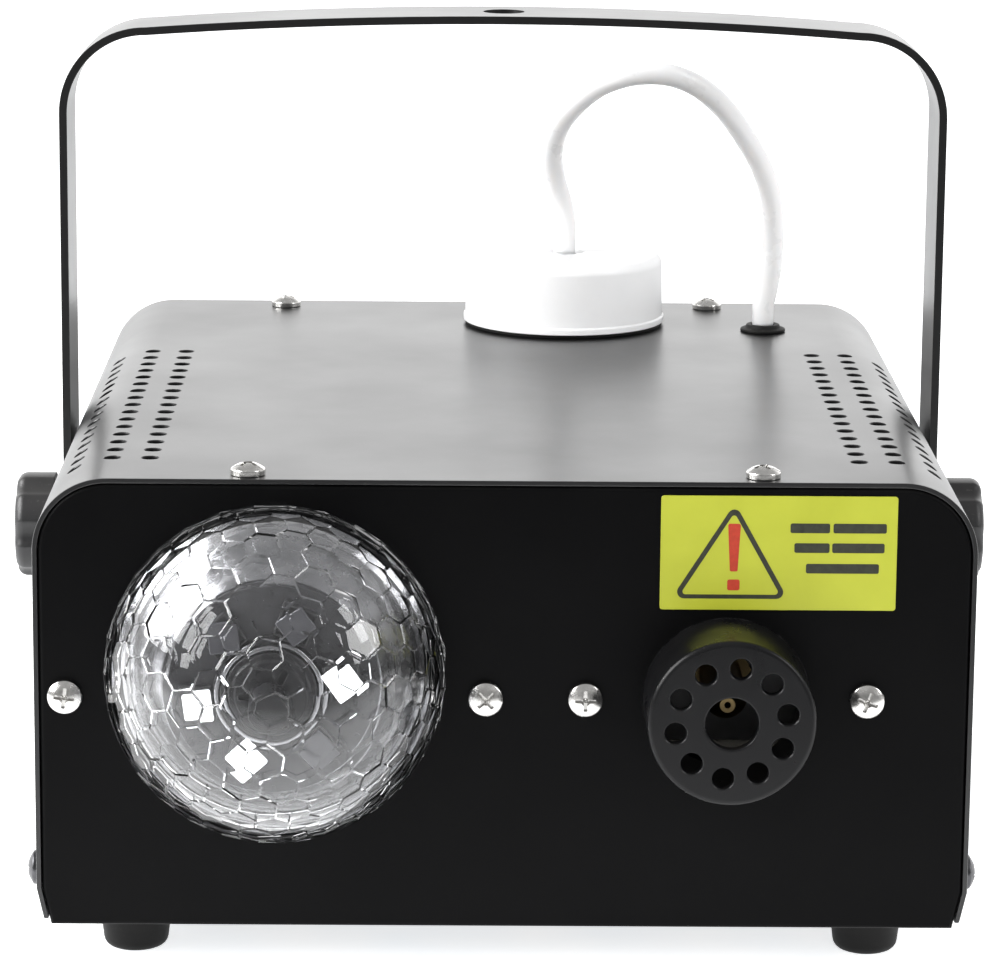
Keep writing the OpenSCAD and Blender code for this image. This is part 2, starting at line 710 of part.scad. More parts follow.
// Soft disc under the cap's crown, which seals on the neck's rim
module cap_liner() color([0.9, 0.9, 0.88]) at_tank()
    translate([0, 0, housing_h + cap_h - 5 + 0.05]) difference() {
        cylinder(r = neck_r + 1, h = 1.6);
        translate([0, 0, -1]) cylinder(r = hose_r + 0.5, h = 4);
    }

module fluid_cap() color([0.97, 0.97, 0.96]) at_tank()
    translate([0, 0, housing_h + gasket_h]) difference() {
        edge_r = 3;
        top_r = cap_r - 0.8;
        rotate_extrude() difference() {
            polygon([[0, 0], [cap_r, 0], [top_r, cap_h], [0, cap_h]]);
            translate([top_r - edge_r, cap_h - edge_r]) difference() {
                square(edge_r + 1);
                circle(edge_r);
            }
        }
        translate([0, 0, -1]) cylinder(r = neck_r + 1.5, h = cap_h - 6 + 1.7 + 1);
        cylinder(r = hose_r + 0.5, h = cap_h + 1);
    }

// Straight suction tube with a weighted filter on its lower end
module pickup_tube() color([0.88, 0.88, 0.86]) at_tank() {
    top = housing_h + gasket_h + cap_h - running;
    filter_z = tank_z + tank_wall + 1;
    translate([0, 0, filter_z + 14]) cylinder(r = hose_r, h = top - filter_z - 14);
    translate([0, 0, filter_z]) cylinder(r = 6, h = 14);
}

// ---------------------------------------------------------------- electronics

board_x = -66;
board_y = 120;
board_w = 66;
board_l = 92;
board_z = 9;

module at_board() in_housing() translate([board_x, board_y, board_z]) children();

module control_board() color([0.1, 0.4, 0.2]) at_board() difference() {
    translate([-board_w / 2, -board_l / 2, 0]) cube([board_w, board_l, 1.6]);
    for (x = [-1, 1], y = [-1, 1])
        translate([x * (board_w / 2 - 4), y * (board_l / 2 - 4), -1]) cylinder(r = 1.5, h = 4);
}

module board_standoffs() color([0.75, 0.65, 0.35]) at_board()
    for (x = [-1, 1], y = [-1, 1])
        translate([x * (board_w / 2 - 4), y * (board_l / 2 - 4), sheet_t - board_z]) {
            cylinder(r = 3, h = board_z - sheet_t, $fn = 6);
            cylinder(r = 1.5, h = board_z - sheet_t + 1.6);
            translate([0, 0, board_z - sheet_t + 1.6]) cylinder(r = 2.8, h = 1.8);
        }

module transformer() color([0.45, 0.43, 0.42]) at_board() translate([-14, 22, 1.6]) {
    translate([-17, -8, 0]) cube([34, 16, 28]);
    translate([-11, -13, 5]) cube([22, 26, 18]);
}

// Relay, capacitor and terminal row
module board_parts() color([0.15, 0.3, 0.6]) at_board() translate([0, 0, 1.6]) {
    translate([10, -6, 0]) cube([16, 20, 15]);
    translate([-18, -10, 0]) cylinder(r = 6.5, h = 22);
    for (i = [0 : 4]) translate([-20 + i * 8, -42, 0]) cube([7.6, 8, 11]);
}

// ---------------------------------------------------------------- rear fittings

// On the rear panel's outer face: local +Y points away from the housing
module at_rear(x, z) in_housing() translate([x, housing_d, z]) children();

socket_z = 5.5;                             // socket above, fuse drawer below
socket_w = 24.2;
socket_h = 16.2;
socket_cut = 4.5;                           // the two upper corners are cut
socket_depth = 17;
drawer_z = -9.8;
rocker_axis_y = -3;
rocker_pin_r = 1.2;

module socket_outline() polygon([
    [-socket_w / 2, -socket_h / 2], [socket_w / 2, -socket_h / 2],
    [socket_w / 2, socket_h / 2 - socket_cut], [socket_w / 2 - socket_cut, socket_h / 2],
    [socket_cut - socket_w / 2, socket_h / 2], [-socket_w / 2, socket_h / 2 - socket_cut]]);

module power_inlet() color([0.06, 0.06, 0.06]) at_rear(inlet_x, inlet_z) difference() {
    flange_t = 2.5;
    union() {
        along_y(0, flange_t) {
            square([49, 26], center = true);
            square([36, 34], center = true);
            for (x = [-1, 1], z = [-1, 1]) translate([x * 18, z * 10.5]) circle(6.5);
        }
        translate([0, -22, 0]) block(27.4, 22, 31.4);
    }
    translate([0, 0, socket_z]) along_y(flange_t - socket_depth, socket_depth + 1)
        socket_outline();
    translate([0, -18, drawer_z]) block(20.4, 22, 7.6);
}

module inlet_pins() color([0.8, 0.8, 0.8]) at_rear(inlet_x, inlet_z)
    for (pin = [[-7, -2], [7, -2], [0, 2]])
        translate([pin[0], 2.5 - socket_depth, socket_z + pin[1]]) block(2, 15, 4);

module fuse_drawer() color([0.09, 0.09, 0.09]) at_rear(inlet_x, inlet_z)
    translate([0, 0, drawer_z]) difference() {
        union() {
            translate([0, -17.5, 0]) block(20, 20, 7.2);
            translate([0, 2.5 + fit, 0]) block(20, 1.5, 7.2);
            translate([0, 2, 0]) block(12, 1, 6);
        }
        translate([0, -8, 2]) block(17, 6.5, 6);
        translate([0, 3.4, 2]) block(9, 2, 1.5);
    }

module rocker_frame() color([0.05, 0.05, 0.05]) at_rear(rocker_x, rocker_z) difference() {
    union() {
        block(21, 2, 15);
        translate([0, -14, 0]) block(18.2, 14, 12.2);
    }
    translate([0, -11, 0]) block(15.6, 14, 9.6);
    translate([0, rocker_axis_y, 0])
        cylinder(r = rocker_pin_r + running, h = 11.2, center = true);
}

// Turns about the vertical axis on two pins; drawn pressed to the off side
module power_rocker() color([0.5, 0.06, 0.05]) at_rear(rocker_x, rocker_z)
    translate([0, rocker_axis_y, 0]) rotate([0, 0, -rocker_tilt]) {
        translate([0, 0, -4.6]) linear_extrude(9.2)
            polygon([[-7, 4], [-6.9, 6.4], [0, 5.2], [6.9, 6.4], [7, 4], [4.5, -2], [-4.5, -2]]);
        cylinder(r = rocker_pin_r, h = 10.8, center = true);
    }

module button_bezel() color([0.7, 0.7, 0.72]) at_rear(button_x, button_z) difference() {
    union() {
        rod_y(8, 1.5);
        translate([0, -16, 0]) rod_y(6, 16.5);
    }
    translate([0, -13, 0]) rod_y(4.8, 20);
}

module fog_button() color([0.75, 0.1, 0.08]) at_rear(button_x, button_z) {
    travel_room = 6;
    translate([0, -travel_room, 0]) rod_y(4.6, travel_room + rear_proud);
}

module button_spring() color([0.8, 0.8, 0.82]) at_rear(button_x, button_z)
    translate([0, -12.9, 0]) rotate([-90, 0, 0]) wire_spring(3.2, 0.35, 4, 6.8);

module warning_label() color([0.85, 0.85, 0.2]) in_housing()
    translate([63.5, -0.25, 91.3]) block(55, 0.25, 27.2);

base_tray();
front_panel();
rear_panel();
top_cover();
top_screws();
side_screws();
front_screws();
rubber_feet();
foot_screws();
bail_handle();
friction_washers();
captive_nuts();
clamp_washer_left();
clamp_washer_right();
clamp_knob_left();
clamp_knob_right();
clamp_stud_left();
clamp_stud_right();
crystal_dome();
dome_hub();
dome_motor();
lamp_base();
lamp_bracket();
led_board();
led_lenses();
nozzle_shroud();
outlet_nozzle();
heater_block();
cartridge_heaters();
heater_brackets();
insulation_wrap();
thermostat();
thermal_fuse();
pump_yoke();
pump_coil();
pump_tube();
pump_plunger();
pump_spring();
outlet_tube();
fluid_tank();
neck_gasket();
cap_liner();
fluid_cap();
pickup_tube();
fluid_hose();
hose_grommet();
pump_hose();
control_board();
board_standoffs();
transformer();
board_parts();
power_inlet();
inlet_pins();
fuse_drawer();
power_rocker();
rocker_frame();
fog_button();
button_bezel();
button_spring();
warning_label();
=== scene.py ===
"""Looks of a compact stage fog machine with a turning crystal dome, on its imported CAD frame.

Shapes are drawn in millimetres in the part's own frame: +Z is up, the outlet side faces -Y,
and the origin lies under the middle of the footprint. Each is scaled to metres when finished.
"""

import logging
import math
import random
from dataclasses import dataclass, field
from enum import Enum
from typing import Iterable, Sequence

import bmesh
import bpy
from mathutils import Matrix, Vector


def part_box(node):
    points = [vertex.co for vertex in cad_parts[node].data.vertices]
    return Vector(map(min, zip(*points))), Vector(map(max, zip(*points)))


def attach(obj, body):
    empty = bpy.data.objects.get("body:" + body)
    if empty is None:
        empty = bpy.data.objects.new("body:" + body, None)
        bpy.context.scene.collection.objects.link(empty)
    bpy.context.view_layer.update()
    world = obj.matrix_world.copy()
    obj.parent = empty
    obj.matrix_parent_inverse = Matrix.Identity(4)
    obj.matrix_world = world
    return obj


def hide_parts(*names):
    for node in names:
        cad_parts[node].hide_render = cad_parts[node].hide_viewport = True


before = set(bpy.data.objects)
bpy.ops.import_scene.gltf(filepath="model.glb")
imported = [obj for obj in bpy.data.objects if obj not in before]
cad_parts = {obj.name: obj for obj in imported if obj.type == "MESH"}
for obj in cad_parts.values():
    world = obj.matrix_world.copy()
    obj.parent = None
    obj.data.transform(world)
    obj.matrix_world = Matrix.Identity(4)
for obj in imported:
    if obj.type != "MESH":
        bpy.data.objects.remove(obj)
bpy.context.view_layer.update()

logging.basicConfig(level=logging.INFO, format="%(name)s: %(message)s")
LOG = logging.getLogger("fog_machine")
MM = 0.001
SIDES = (-1, 1)
Point2 = tuple[float, float]
Tree, Node, Socket, Outputs = (bpy.types.NodeTree, bpy.types.Node, bpy.types.NodeSocket,
                               bpy.types.NodeOutputs)


# --- node trees

def add_node(tree: Tree, kind: str, inputs: dict | None = None,
             **settings: object) -> Node:
    """Adds a node to a tree.

    Args:
        tree: The shader or geometry tree.
        kind: The node's type name.
        inputs: Values or sockets for its inputs, by input name or number.
        settings: The node's own properties.

    Returns:
        The new node.
    """
    node = tree.nodes.new(kind)
    for name, value in settings.items():
        setattr(node, name, value)
    for name, value in (inputs or {}).items():
        if isinstance(value, Socket):
            tree.links.new(value, node.inputs[name])
        else:
            node.inputs[name].default_value = value
    return node


def sums(tree: Tree, operation: str, *values: object) -> Socket:
    """Adds a Math node and returns its result.

    Args:
        tree: The tree that gets the node.
        operation: The Math node's operation.
        values: Numbers or sockets, in order.

    Returns:
        The node's output socket.
    """
    return add_node(tree, "ShaderNodeMath", dict(enumerate(values)), operation=operation).outputs[0]


def vector_of(tree: Tree, x: object, y: object, z: object) -> Socket:
    """Adds a Combine XYZ node over three numbers or sockets and returns its vector."""
    return add_node(tree, "ShaderNodeCombineXYZ", {0: x, 1: y, 2: z}).outputs[0]


def ranged(tree: Tree, value: object, low: float, high: float,
           to_low: object = 0.0, to_high: object = 1.0) -> Socket:
    """Adds a clamped Map Range node and returns its result.

    Args:
        tree: The tree that gets the node.
        value: The number or socket to map.
        low: Value that maps to to_low.
        high: Value that maps to to_high.
        to_low: Result at low.
        to_high: Result at high.

    Returns:
        The node's output socket.
    """
    return add_node(tree, "ShaderNodeMapRange",
                    {0: value, 1: low, 2: high, 3: to_low, 4: to_high}).outputs[0]


def mixed(tree: Tree, share: object, first: object, second: object,
          blend: str = "MIX") -> Socket:
    """Adds a colour Mix node and returns its colour.

    Args:
        tree: The tree that gets the node.
        share: How much of the second colour shows.
        first: Colour or socket where share is 0.
        second: Colour or socket where share is 1.
        blend: How the two are mixed.

    Returns:
        The mixed colour's socket.
    """
    node = add_node(tree, "ShaderNodeMix", {0: share, 6: first, 7: second},
                    data_type="RGBA", blend_type=blend)
    return node.outputs[2]


def noise(tree: Tree, vector: object, scale: object, detail: float = 2.0,
          rough: float = 0.5) -> Socket:
    """Adds a Noise Texture and returns its value.

    Args:
        tree: The tree that gets the node.
        vector: Where the noise is read.
        scale: Features per metre.
        detail: Octaves.
        rough: Weight of the finer octaves.

    Returns:
        The noise value's socket.
    """
    node = add_node(tree, "ShaderNodeTexNoise", {"Vector": vector, "Scale": scale,
                                                 "Detail": detail, "Roughness": rough})
    return node.outputs["Fac"]


# --- shader groups

class Library:
    """Node groups that are each built once, on first use."""

    @classmethod
    def named(cls, name: str) -> Tree:
        """The group of that name."""
        return bpy.data.node_groups.get(name) or getattr(cls, "_" + name)()


class Effects(Library):
    """Shader node groups that several finishes share."""

    @staticmethod
    def _start(name: str, numbers: Sequence[str], results: Sequence[str]
               ) -> tuple[Tree, Node, Node]:
        """Starts a group with a Vector input.

        Args:
            name: The group's name.
            numbers: Names of its number inputs.
            results: Names of its number outputs.

        Returns:
            The tree, its input node and its output node.
        """
        tree = bpy.data.node_groups.new(name, "ShaderNodeTree")
        tree.interface.new_socket("Vector", in_out="INPUT", socket_type="NodeSocketVector")
        for number in numbers:
            tree.interface.new_socket(number, in_out="INPUT", socket_type="NodeSocketFloat")
        for result in results:
            tree.interface.new_socket(result, in_out="OUTPUT", socket_type="NodeSocketFloat")
        return tree, tree.nodes.new("NodeGroupInput"), tree.nodes.new("NodeGroupOutput")

    @classmethod
    def _texture(cls, name: str, extra: Sequence[str] = ()) -> tuple[Tree, Outputs, Node]:
        """Starts a texture group, and returns its tree, its inputs and its output node.

        Args:
            name: The group's name.
            extra: Further number inputs.

        Returns:
            The tree, its inputs and its output node.
        """
        tree, given, result = cls._start(name, ["Scale", "Patch Scale", *extra], ["Height", "Tone"])
        return tree, given.outputs, result

    @staticmethod
    def _textured(tree: Tree, given: Outputs, result: Node, height: Socket, where: Socket,
                  detail: float, rough: float = 0.5) -> Tree:
        """Ends a texture group.

        Args:
            tree: The group's tree.
            given: Its inputs.
            result: Its output node.
            height: What becomes the Height output.
            where: Where the Tone's patches are read.
            detail: Octaves of the patches.
            rough: Weight of their finer octaves.

        Returns:
            The tree.
        """
        tree.links.new(height, result.inputs["Height"])
        patches = noise(tree, where, given["Patch Scale"], detail, rough)
        tree.links.new(ranged(tree, patches, 0.3, 0.7), result.inputs["Tone"])
        return tree

    @classmethod
    def _fine_grain(cls) -> Tree:
        """Even grain with soft, wide patches, as on powder coat, castings and mouldings.

        Returns:
            The new group.
        """
        tree, given, result = cls._texture("fine_grain")
        where = given["Vector"]
        fine = noise(tree, where, given["Scale"], 3.0, 0.6)
        coarse = noise(tree, where, sums(tree, "MULTIPLY", given["Scale"], 0.37), 1.0)
        height = sums(tree, "ADD", sums(tree, "MULTIPLY", fine, 0.65),
                      sums(tree, "MULTIPLY", coarse, 0.35))
        return cls._textured(tree, given, result, height, where, 4.0, 0.62)

    @classmethod
    def _streaks(cls) -> Tree:
        """Long fine marks along one axis, as on rolled, turned or drawn metal.

        Returns:
            The new group.
        """
        tree, given, result = cls._texture("streaks", ["Along " + axis for axis in "XYZ"])
        squeeze = vector_of(tree, *[sums(tree, "SUBTRACT", 1.0, given["Along " + axis])
                                    for axis in "XYZ"])
        where = add_node(tree, "ShaderNodeVectorMath", {0: given["Vector"], 1: squeeze},
                         operation="MULTIPLY").outputs[0]
        lines = noise(tree, where, given["Scale"], 3.0, 0.7)
        return cls._textured(tree, given, result, lines, where, 3.0, 0.6)

    @classmethod
    def _weave(cls) -> Tree:
        """Crossing threads, as on glass-fibre cloth.

        Returns:
            The new group.
        """
        tree, given, result = cls._texture("weave")
        where = given["Vector"]
        threads = [add_node(tree, "ShaderNodeTexWave",
                            {"Vector": where, "Scale": given["Scale"], "Distortion": 1.5,
                             "Detail": 2.0, "Detail Scale": 3.0},
                            bands_direction=axis).outputs["Fac"] for axis in "YZ"]
        return cls._textured(tree, given, result, sums(tree, "MAXIMUM", *threads), where, 3.0)

    @classmethod
    def _windings(cls) -> Tree:
        """Turns of wire or tape lying side by side up a coil.

        Returns:
            The new group.
        """
        tree, given, result = cls._texture("windings")
        where = given["Vector"]
        turns = add_node(tree, "ShaderNodeTexWave",
                         {"Vector": where, "Scale": given["Scale"], "Distortion": 0.4},
                         bands_direction="Z").outputs["Fac"]
        return cls._textured(tree, given, result, turns, where, 2.0)

    @classmethod
    def _edge_wear(cls) -> Tree:
        """Mask of the outer edges, broken up by noise.

        Returns:
            The new group.
        """
        tree, given, result = cls._start("edge_wear", ["Reach", "Amount", "Scale"], ["Mask"])
        rounded = add_node(tree, "ShaderNodeBevel", {"Radius": given.outputs["Reach"]}, samples=4)
        surface = add_node(tree, "ShaderNodeNewGeometry")
        alike = add_node(tree, "ShaderNodeVectorMath",
                         {0: rounded.outputs[0], 1: surface.outputs["True Normal"]},
                         operation="DOT_PRODUCT").outputs["Value"]
        edge = ranged(tree, alike, 0.97, 0.8)
        spots = noise(tree, given.outputs["Vector"], given.outputs["Scale"], 4.0, 0.7)
        broken = ranged(tree, spots, 0.42, 0.62)
        worn = sums(tree, "MULTIPLY", sums(tree, "MULTIPLY", edge, broken), given.outputs["Amount"])
        tree.links.new(worn, result.inputs["Mask"])
        return tree

    @classmethod
    def _dust_film(cls) -> Tree:
        """Mask of settled dust: faces that look up, in uneven patches with a few specks.

        Returns:
            The new group.
        """
        tree, given, result = cls._start("dust_film", ["Amount", "Scale"], ["Mask"])
        surface = add_node(tree, "ShaderNodeNewGeometry")
        up = add_node(tree, "ShaderNodeSeparateXYZ", {0: surface.outputs["Normal"]}).outputs["Z"]
        where = given.outputs["Vector"]
        veil = ranged(tree, noise(tree, where, given.outputs["Scale"], 5.0, 0.65), 0.35, 0.75)
        fine = sums(tree, "MULTIPLY", given.outputs["Scale"], 42.0)
        specks = ranged(tree, noise(tree, where, fine, 1.0), 0.68, 0.74)
        film = sums(tree, "ADD", sums(tree, "MULTIPLY", veil, 0.6),
                    sums(tree, "MULTIPLY", specks, 0.8))
        settled = sums(tree, "MULTIPLY", film, ranged(tree, up, 0.2, 1.0, 0.12, 1.0))
        mask = sums(tree, "MULTIPLY", settled, given.outputs["Amount"])
        tree.links.new(sums(tree, "MINIMUM", mask, 1.0), result.inputs["Mask"])
        return tree


class Grain(Enum):
    """Which shared effect gives a finish its texture."""

    FINE = "fine_grain"
    STREAKS = "streaks"
    WEAVE = "weave"
    WINDINGS = "windings"


WEAR_REACH = 0.5
WEAR_SCALE = 260.0
DUST_SCALE = 34.0
# Grey that the painted edge shade mixes into a colour.
PAINTED_EDGE_SHADE_GREY = (0.5, 0.5, 0.51, 1.0)
GLOW_TONES = ((0.94, 0.97, 1.0, 1.0), (1.0, 1.0, 1.0, 1.0))


@dataclass(frozen=True)
class Finish:
    """One finish, and how its material is built; edge_shade paints shade into its colour.

    Lengths are in millimetres. Colours are linear.
    """

    name: str
    colour: tuple[float, float, float]
    roughness: float
    metallic: float = 0.0
    ior: float = 1.5
    grain: Grain = Grain.FINE
    along: tuple[float, float, float] = (0.0, 0.0, 0.0)
    grain_size: float = 0.5
    relief: float = 0.01
    patch_size: float = 40.0
    tone: float = 0.1
    gloss_spread: float = 0.06
    wear: float = 0.0
    wear_colour: tuple[float, float, float] = (0.3, 0.3, 0.3)
    dust: float = 0.0
    dust_colour: tuple[float, float, float] = (0.42, 0.4, 0.37)
    coat: float = 0.0
    subsurface: float = 0.0
    subsurface_reach: float = 2.0
    # Painted shade: how far the colour turns grey where the surface slants away from the view.
    edge_shade: float = 0.0
    transmission: float = 0.0
    glow: float = 0.0

    def material(self) -> bpy.types.Material:
        """The finish as a material, built once."""
        ready = bpy.data.materials.get("finish_" + self.name)
        return ready or self._build()

    def _texture(self, tree: Tree, where: Socket) -> Node:
        """Places the shared texture effect.

        Args:
            tree: The material's tree.
            where: Object coordinates.

        Returns:
            The group node, with Height and Tone outputs.
        """
        effect = add_node(tree, "ShaderNodeGroup", node_tree=Effects.named(self.grain.value))
        tree.links.new(where, effect.inputs["Vector"])
        effect.inputs["Scale"].default_value = 1 / (self.grain_size * MM)
        effect.inputs["Patch Scale"].default_value = 1 / (self.patch_size * MM)
        if self.grain is Grain.STREAKS:
            for axis, share in zip("XYZ", self.along):
                effect.inputs["Along " + axis].default_value = share
        return effect

    def _mask(self, tree: Tree, where: Socket, name: str,
              **numbers: float) -> Socket:
        """Places a shared mask effect and returns its mask.

        Args:
            tree: The material's tree.
            where: Object coordinates.
            name: The effect's name.
            numbers: Its number inputs.

        Returns:
            The mask's socket.
        """
        effect = add_node(tree, "ShaderNodeGroup", node_tree=Effects.named(name))
        tree.links.new(where, effect.inputs["Vector"])
        for number, value in numbers.items():
            effect.inputs[number].default_value = value
        return effect.outputs["Mask"]

    def _build(self) -> bpy.types.Material:
        """Builds the material's nodes.

        Returns:
            The new material.
        """
        made = bpy.data.materials.new("finish_" + self.name)
        made.use_nodes = True
        tree = made.node_tree
        shader = tree.nodes["Principled BSDF"]
        where = add_node(tree, "ShaderNodeTexCoord").outputs["Object"]
        texture = self._texture(tree, where)
        tone = texture.outputs["Tone"]
        dark, light = ([*(c * k for c in self.colour), 1.0] for k in (1 - self.tone, 1 + self.tone))
        colour = mixed(tree, tone, dark, light)
        rough = ranged(tree, tone, 0.0, 1.0, self.roughness - self.gloss_spread,
                       self.roughness + self.gloss_spread)
        if self.wear:
            worn = self._mask(tree, where, "edge_wear", Reach=WEAR_REACH * MM, Amount=self.wear,
                              Scale=WEAR_SCALE)
            colour = mixed(tree, worn, colour, [*self.wear_colour, 1.0])
            rough = sums(tree, "ADD", rough, sums(tree, "MULTIPLY", worn, 0.08))
        if self.dust:
            dusty = self._mask(tree, where, "dust_film", Amount=self.dust, Scale=DUST_SCALE)
            colour = mixed(tree, dusty, colour, [*self.dust_colour, 1.0])
            rough = sums(tree, "ADD", rough, sums(tree, "MULTIPLY", dusty, 0.4))
        # Painted shade: the colour turns grey towards the silhouette and on faces seen at a slant.
        if self.edge_shade:
            slant = add_node(tree, "ShaderNodeLayerWeight", {"Blend": 0.5}).outputs["Facing"]
            share = sums(tree, "MULTIPLY", sums(tree, "MULTIPLY", slant, slant), self.edge_shade)
            colour = mixed(tree, share, colour, PAINTED_EDGE_SHADE_GREY)
        tree.links.new(colour, shader.inputs["Base Color"])
        tree.links.new(rough, shader.inputs["Roughness"])
        bump = add_node(tree, "ShaderNodeBump", {"Height": texture.outputs["Height"],
                                                 "Strength": 1.0, "Distance": self.relief * MM})
        tree.links.new(bump.outputs[0], shader.inputs["Normal"])
        settings = {
            "Metallic": self.metallic, "IOR": self.ior, "Coat Weight": self.coat,
            "Coat Roughness": 0.12, "Subsurface Weight": self.subsurface,
            "Subsurface Radius": (1.0, 0.95, 0.9), "Subsurface Scale": self.subsurface_reach * MM,
            "Transmission Weight": self.transmission}
        for name, value in settings.items():
            shader.inputs[name].default_value = value
        if self.glow:
            tree.links.new(mixed(tree, tone, *GLOW_TONES), shader.inputs["Emission Color"])
            shader.inputs["Emission Strength"].default_value = self.glow
        if self.transmission:
            self._let_light_in(tree, shader)
        return made

    @staticmethod
    def _let_light_in(tree: Tree, shader: Node) -> None:
        """Lets light pass straight through clear plastic, so that what is behind it is lit.

        Args:
            tree: The material's tree.
            shader: Its surface shader.
        """
        rays = add_node(tree, "ShaderNodeLightPath")
        clear = add_node(tree, "ShaderNodeBsdfTransparent")
        mix = add_node(tree, "ShaderNodeMixShader", {0: rays.outputs["Is Shadow Ray"],
                                                     1: shader.outputs[0], 2: clear.outputs[0]})
        tree.links.new(mix.outputs[0], tree.nodes["Material Output"].inputs["Surface"])


POWDER = dict(grain_size=0.42, relief=0.014, patch_size=55.0, tone=0.12, gloss_spread=0.025,
              wear=0.35, wear_colour=(0.09, 0.09, 0.09), dust=0.02)
# Painted shade: the cover's powder coat with a darker colour and a lower IOR, so the front face
# reads darker; the rear panel and the tray wear it too.
SHADED_PANEL_BLACK = Finish("panel_powder_black", (0.0022, 0.0022, 0.0024), 0.36, ior=1.14, **POWDER)
COVER_BLACK = Finish("cover_powder_black", (0.005, 0.005, 0.0055), 0.3, ior=1.5, **POWDER)
BAIL_BLACK = Finish("bail_powder_black", (0.002, 0.002, 0.0022), 0.3, ior=1.5, **POWDER)
NICKEL = Finish("screw_nickel", (0.66, 0.65, 0.63), 0.24, 1.0, grain_size=0.35, relief=0.006,
                patch_size=3.0, tone=0.16, gloss_spread=0.08, wear=0.5,
                wear_colour=(0.8, 0.8, 0.78))
DARK_SCREW = Finish("screw_blackened", (0.09, 0.09, 0.095), 0.3, 1.0, grain_size=0.3, relief=0.005,
                    patch_size=3.0, tone=0.2, wear=0.6, wear_colour=(0.4, 0.4, 0.4))
RUBBER = Finish("rubber_black", (0.004, 0.004, 0.004), 0.6, ior=1.3, grain_size=0.6, relief=0.03,
                patch_size=9.0, tone=0.2, dust=0.1)
KNOB_BLACK = Finish("knob_moulded_black", (0.011, 0.011, 0.012), 0.4, grain_size=0.5, relief=0.018,
                    patch_size=14.0, tone=0.15, wear=0.3, wear_colour=(0.07, 0.07, 0.07), dust=0.12)
SHROUD_BLACK = Finish("shroud_black", (0.0045, 0.0045, 0.005), 0.3, ior=1.3, grain_size=0.45,
                      relief=0.01, patch_size=16.0, tone=0.15, wear=0.3,
                      wear_colour=(0.06, 0.06, 0.06), dust=0.03)
FITTING_BLACK = Finish("fitting_moulded_black", (0.012, 0.012, 0.012), 0.42, grain_size=0.4,
                       relief=0.012, patch_size=12.0, tone=0.15, dust=0.12)
NYLON = Finish("nylon_natural", (0.72, 0.7, 0.62), 0.38, grain_size=0.8, relief=0.01,
               patch_size=8.0, subsurface=0.25, dust=0.1)
ZINC = Finish("zinc_steel", (0.55, 0.56, 0.58), 0.3, 1.0, grain_size=1.1, relief=0.01,
              patch_size=6.0, tone=0.2, gloss_spread=0.1, wear=0.3, dust=0.1)
CLEAR = Finish("dome_clear_acrylic", (0.985, 0.99, 1.0), 0.022, ior=1.49, grain_size=3.0,
               relief=0.002, patch_size=16.0, tone=0.005, gloss_spread=0.012, transmission=1.0)
LAMP_SILVER = Finish("lamp_silvered", (0.33, 0.33, 0.34), 0.24, 1.0, grain_size=1.4, relief=0.02,
                     patch_size=7.0, tone=0.12, gloss_spread=0.09)
MOTOR_DARK = Finish("motor_dark", (0.014, 0.014, 0.015), 0.3, ior=1.35, grain_size=0.6, relief=0.01,
                    patch_size=6.0, tone=0.25, wear=0.5, wear_colour=(0.3, 0.3, 0.3))
BOARD_GREY = Finish("light_board_grey", (0.03, 0.03, 0.032), 0.34, ior=1.3, grain_size=1.2,
                    relief=0.02, patch_size=5.0, tone=0.35, gloss_spread=0.12)
LENS = Finish("lens_clear", (0.04, 0.04, 0.045), 0.08, ior=1.49, grain_size=0.8, relief=0.006,
              patch_size=4.0, tone=0.1, gloss_spread=0.04)
LIT_WINDOW = Finish("light_window_lit", (0.95, 0.96, 0.98), 0.3, grain_size=0.8, relief=0.01,
                    patch_size=3.0, tone=0.03, glow=1.6)
# Painted shade: the brass colour is darkened so the jet deep inside the outlet shroud reads dark;
# the hidden brass parts share it.
BRASS = Finish("brass_turned", (0.34, 0.25, 0.12), 0.4, 1.0, grain=Grain.STREAKS,
               along=(0.0, 0.97, 0.0), grain_size=0.5, relief=0.006, patch_size=5.0, tone=0.18)
CAST_ALLOY = Finish("cast_alloy", (0.5, 0.5, 0.51), 0.45, 1.0, grain_size=1.2, relief=0.06,
                    patch_size=18.0, tone=0.18, gloss_spread=0.1)
HEATER_STEEL = Finish("heater_blued_steel", (0.34, 0.31, 0.3), 0.34, 1.0, grain=Grain.STREAKS,
                      along=(0.0, 0.95, 0.0), grain_size=0.7, relief=0.008, patch_size=12.0,
                      tone=0.3)
GLASS_FIBRE = Finish("glass_fibre", (0.2, 0.19, 0.165), 0.85, grain=Grain.WEAVE, grain_size=16.0,
                     relief=0.25, patch_size=20.0, tone=0.15)
CERAMIC = Finish("ceramic_white", (0.72, 0.7, 0.66), 0.5, grain_size=0.6, relief=0.02,
                 patch_size=5.0, tone=0.08)
COIL_TAPE = Finish("coil_tape", (0.52, 0.2, 0.05), 0.35, grain=Grain.WINDINGS, grain_size=5.0,
                   relief=0.12, patch_size=10.0, tone=0.2)
SPRING_STEEL = Finish("spring_steel", (0.6, 0.6, 0.62), 0.25, 1.0, grain_size=0.3, relief=0.003,
                      patch_size=3.0, tone=0.15)
# Painted shade darkens the hose's colour towards its edges.
HOSE_MILKY = Finish("hose_milky", (0.75, 0.75, 0.755), 0.3, grain_size=1.5, relief=0.01,
                    patch_size=14.0, tone=0.02, subsurface=0.85, subsurface_reach=4.0,
                    edge_shade=0.65)
TANK_MILKY = Finish("tank_milky", (0.8, 0.8, 0.78), 0.4, grain_size=1.2, relief=0.02,
                    patch_size=30.0, tone=0.05, subsurface=0.3)
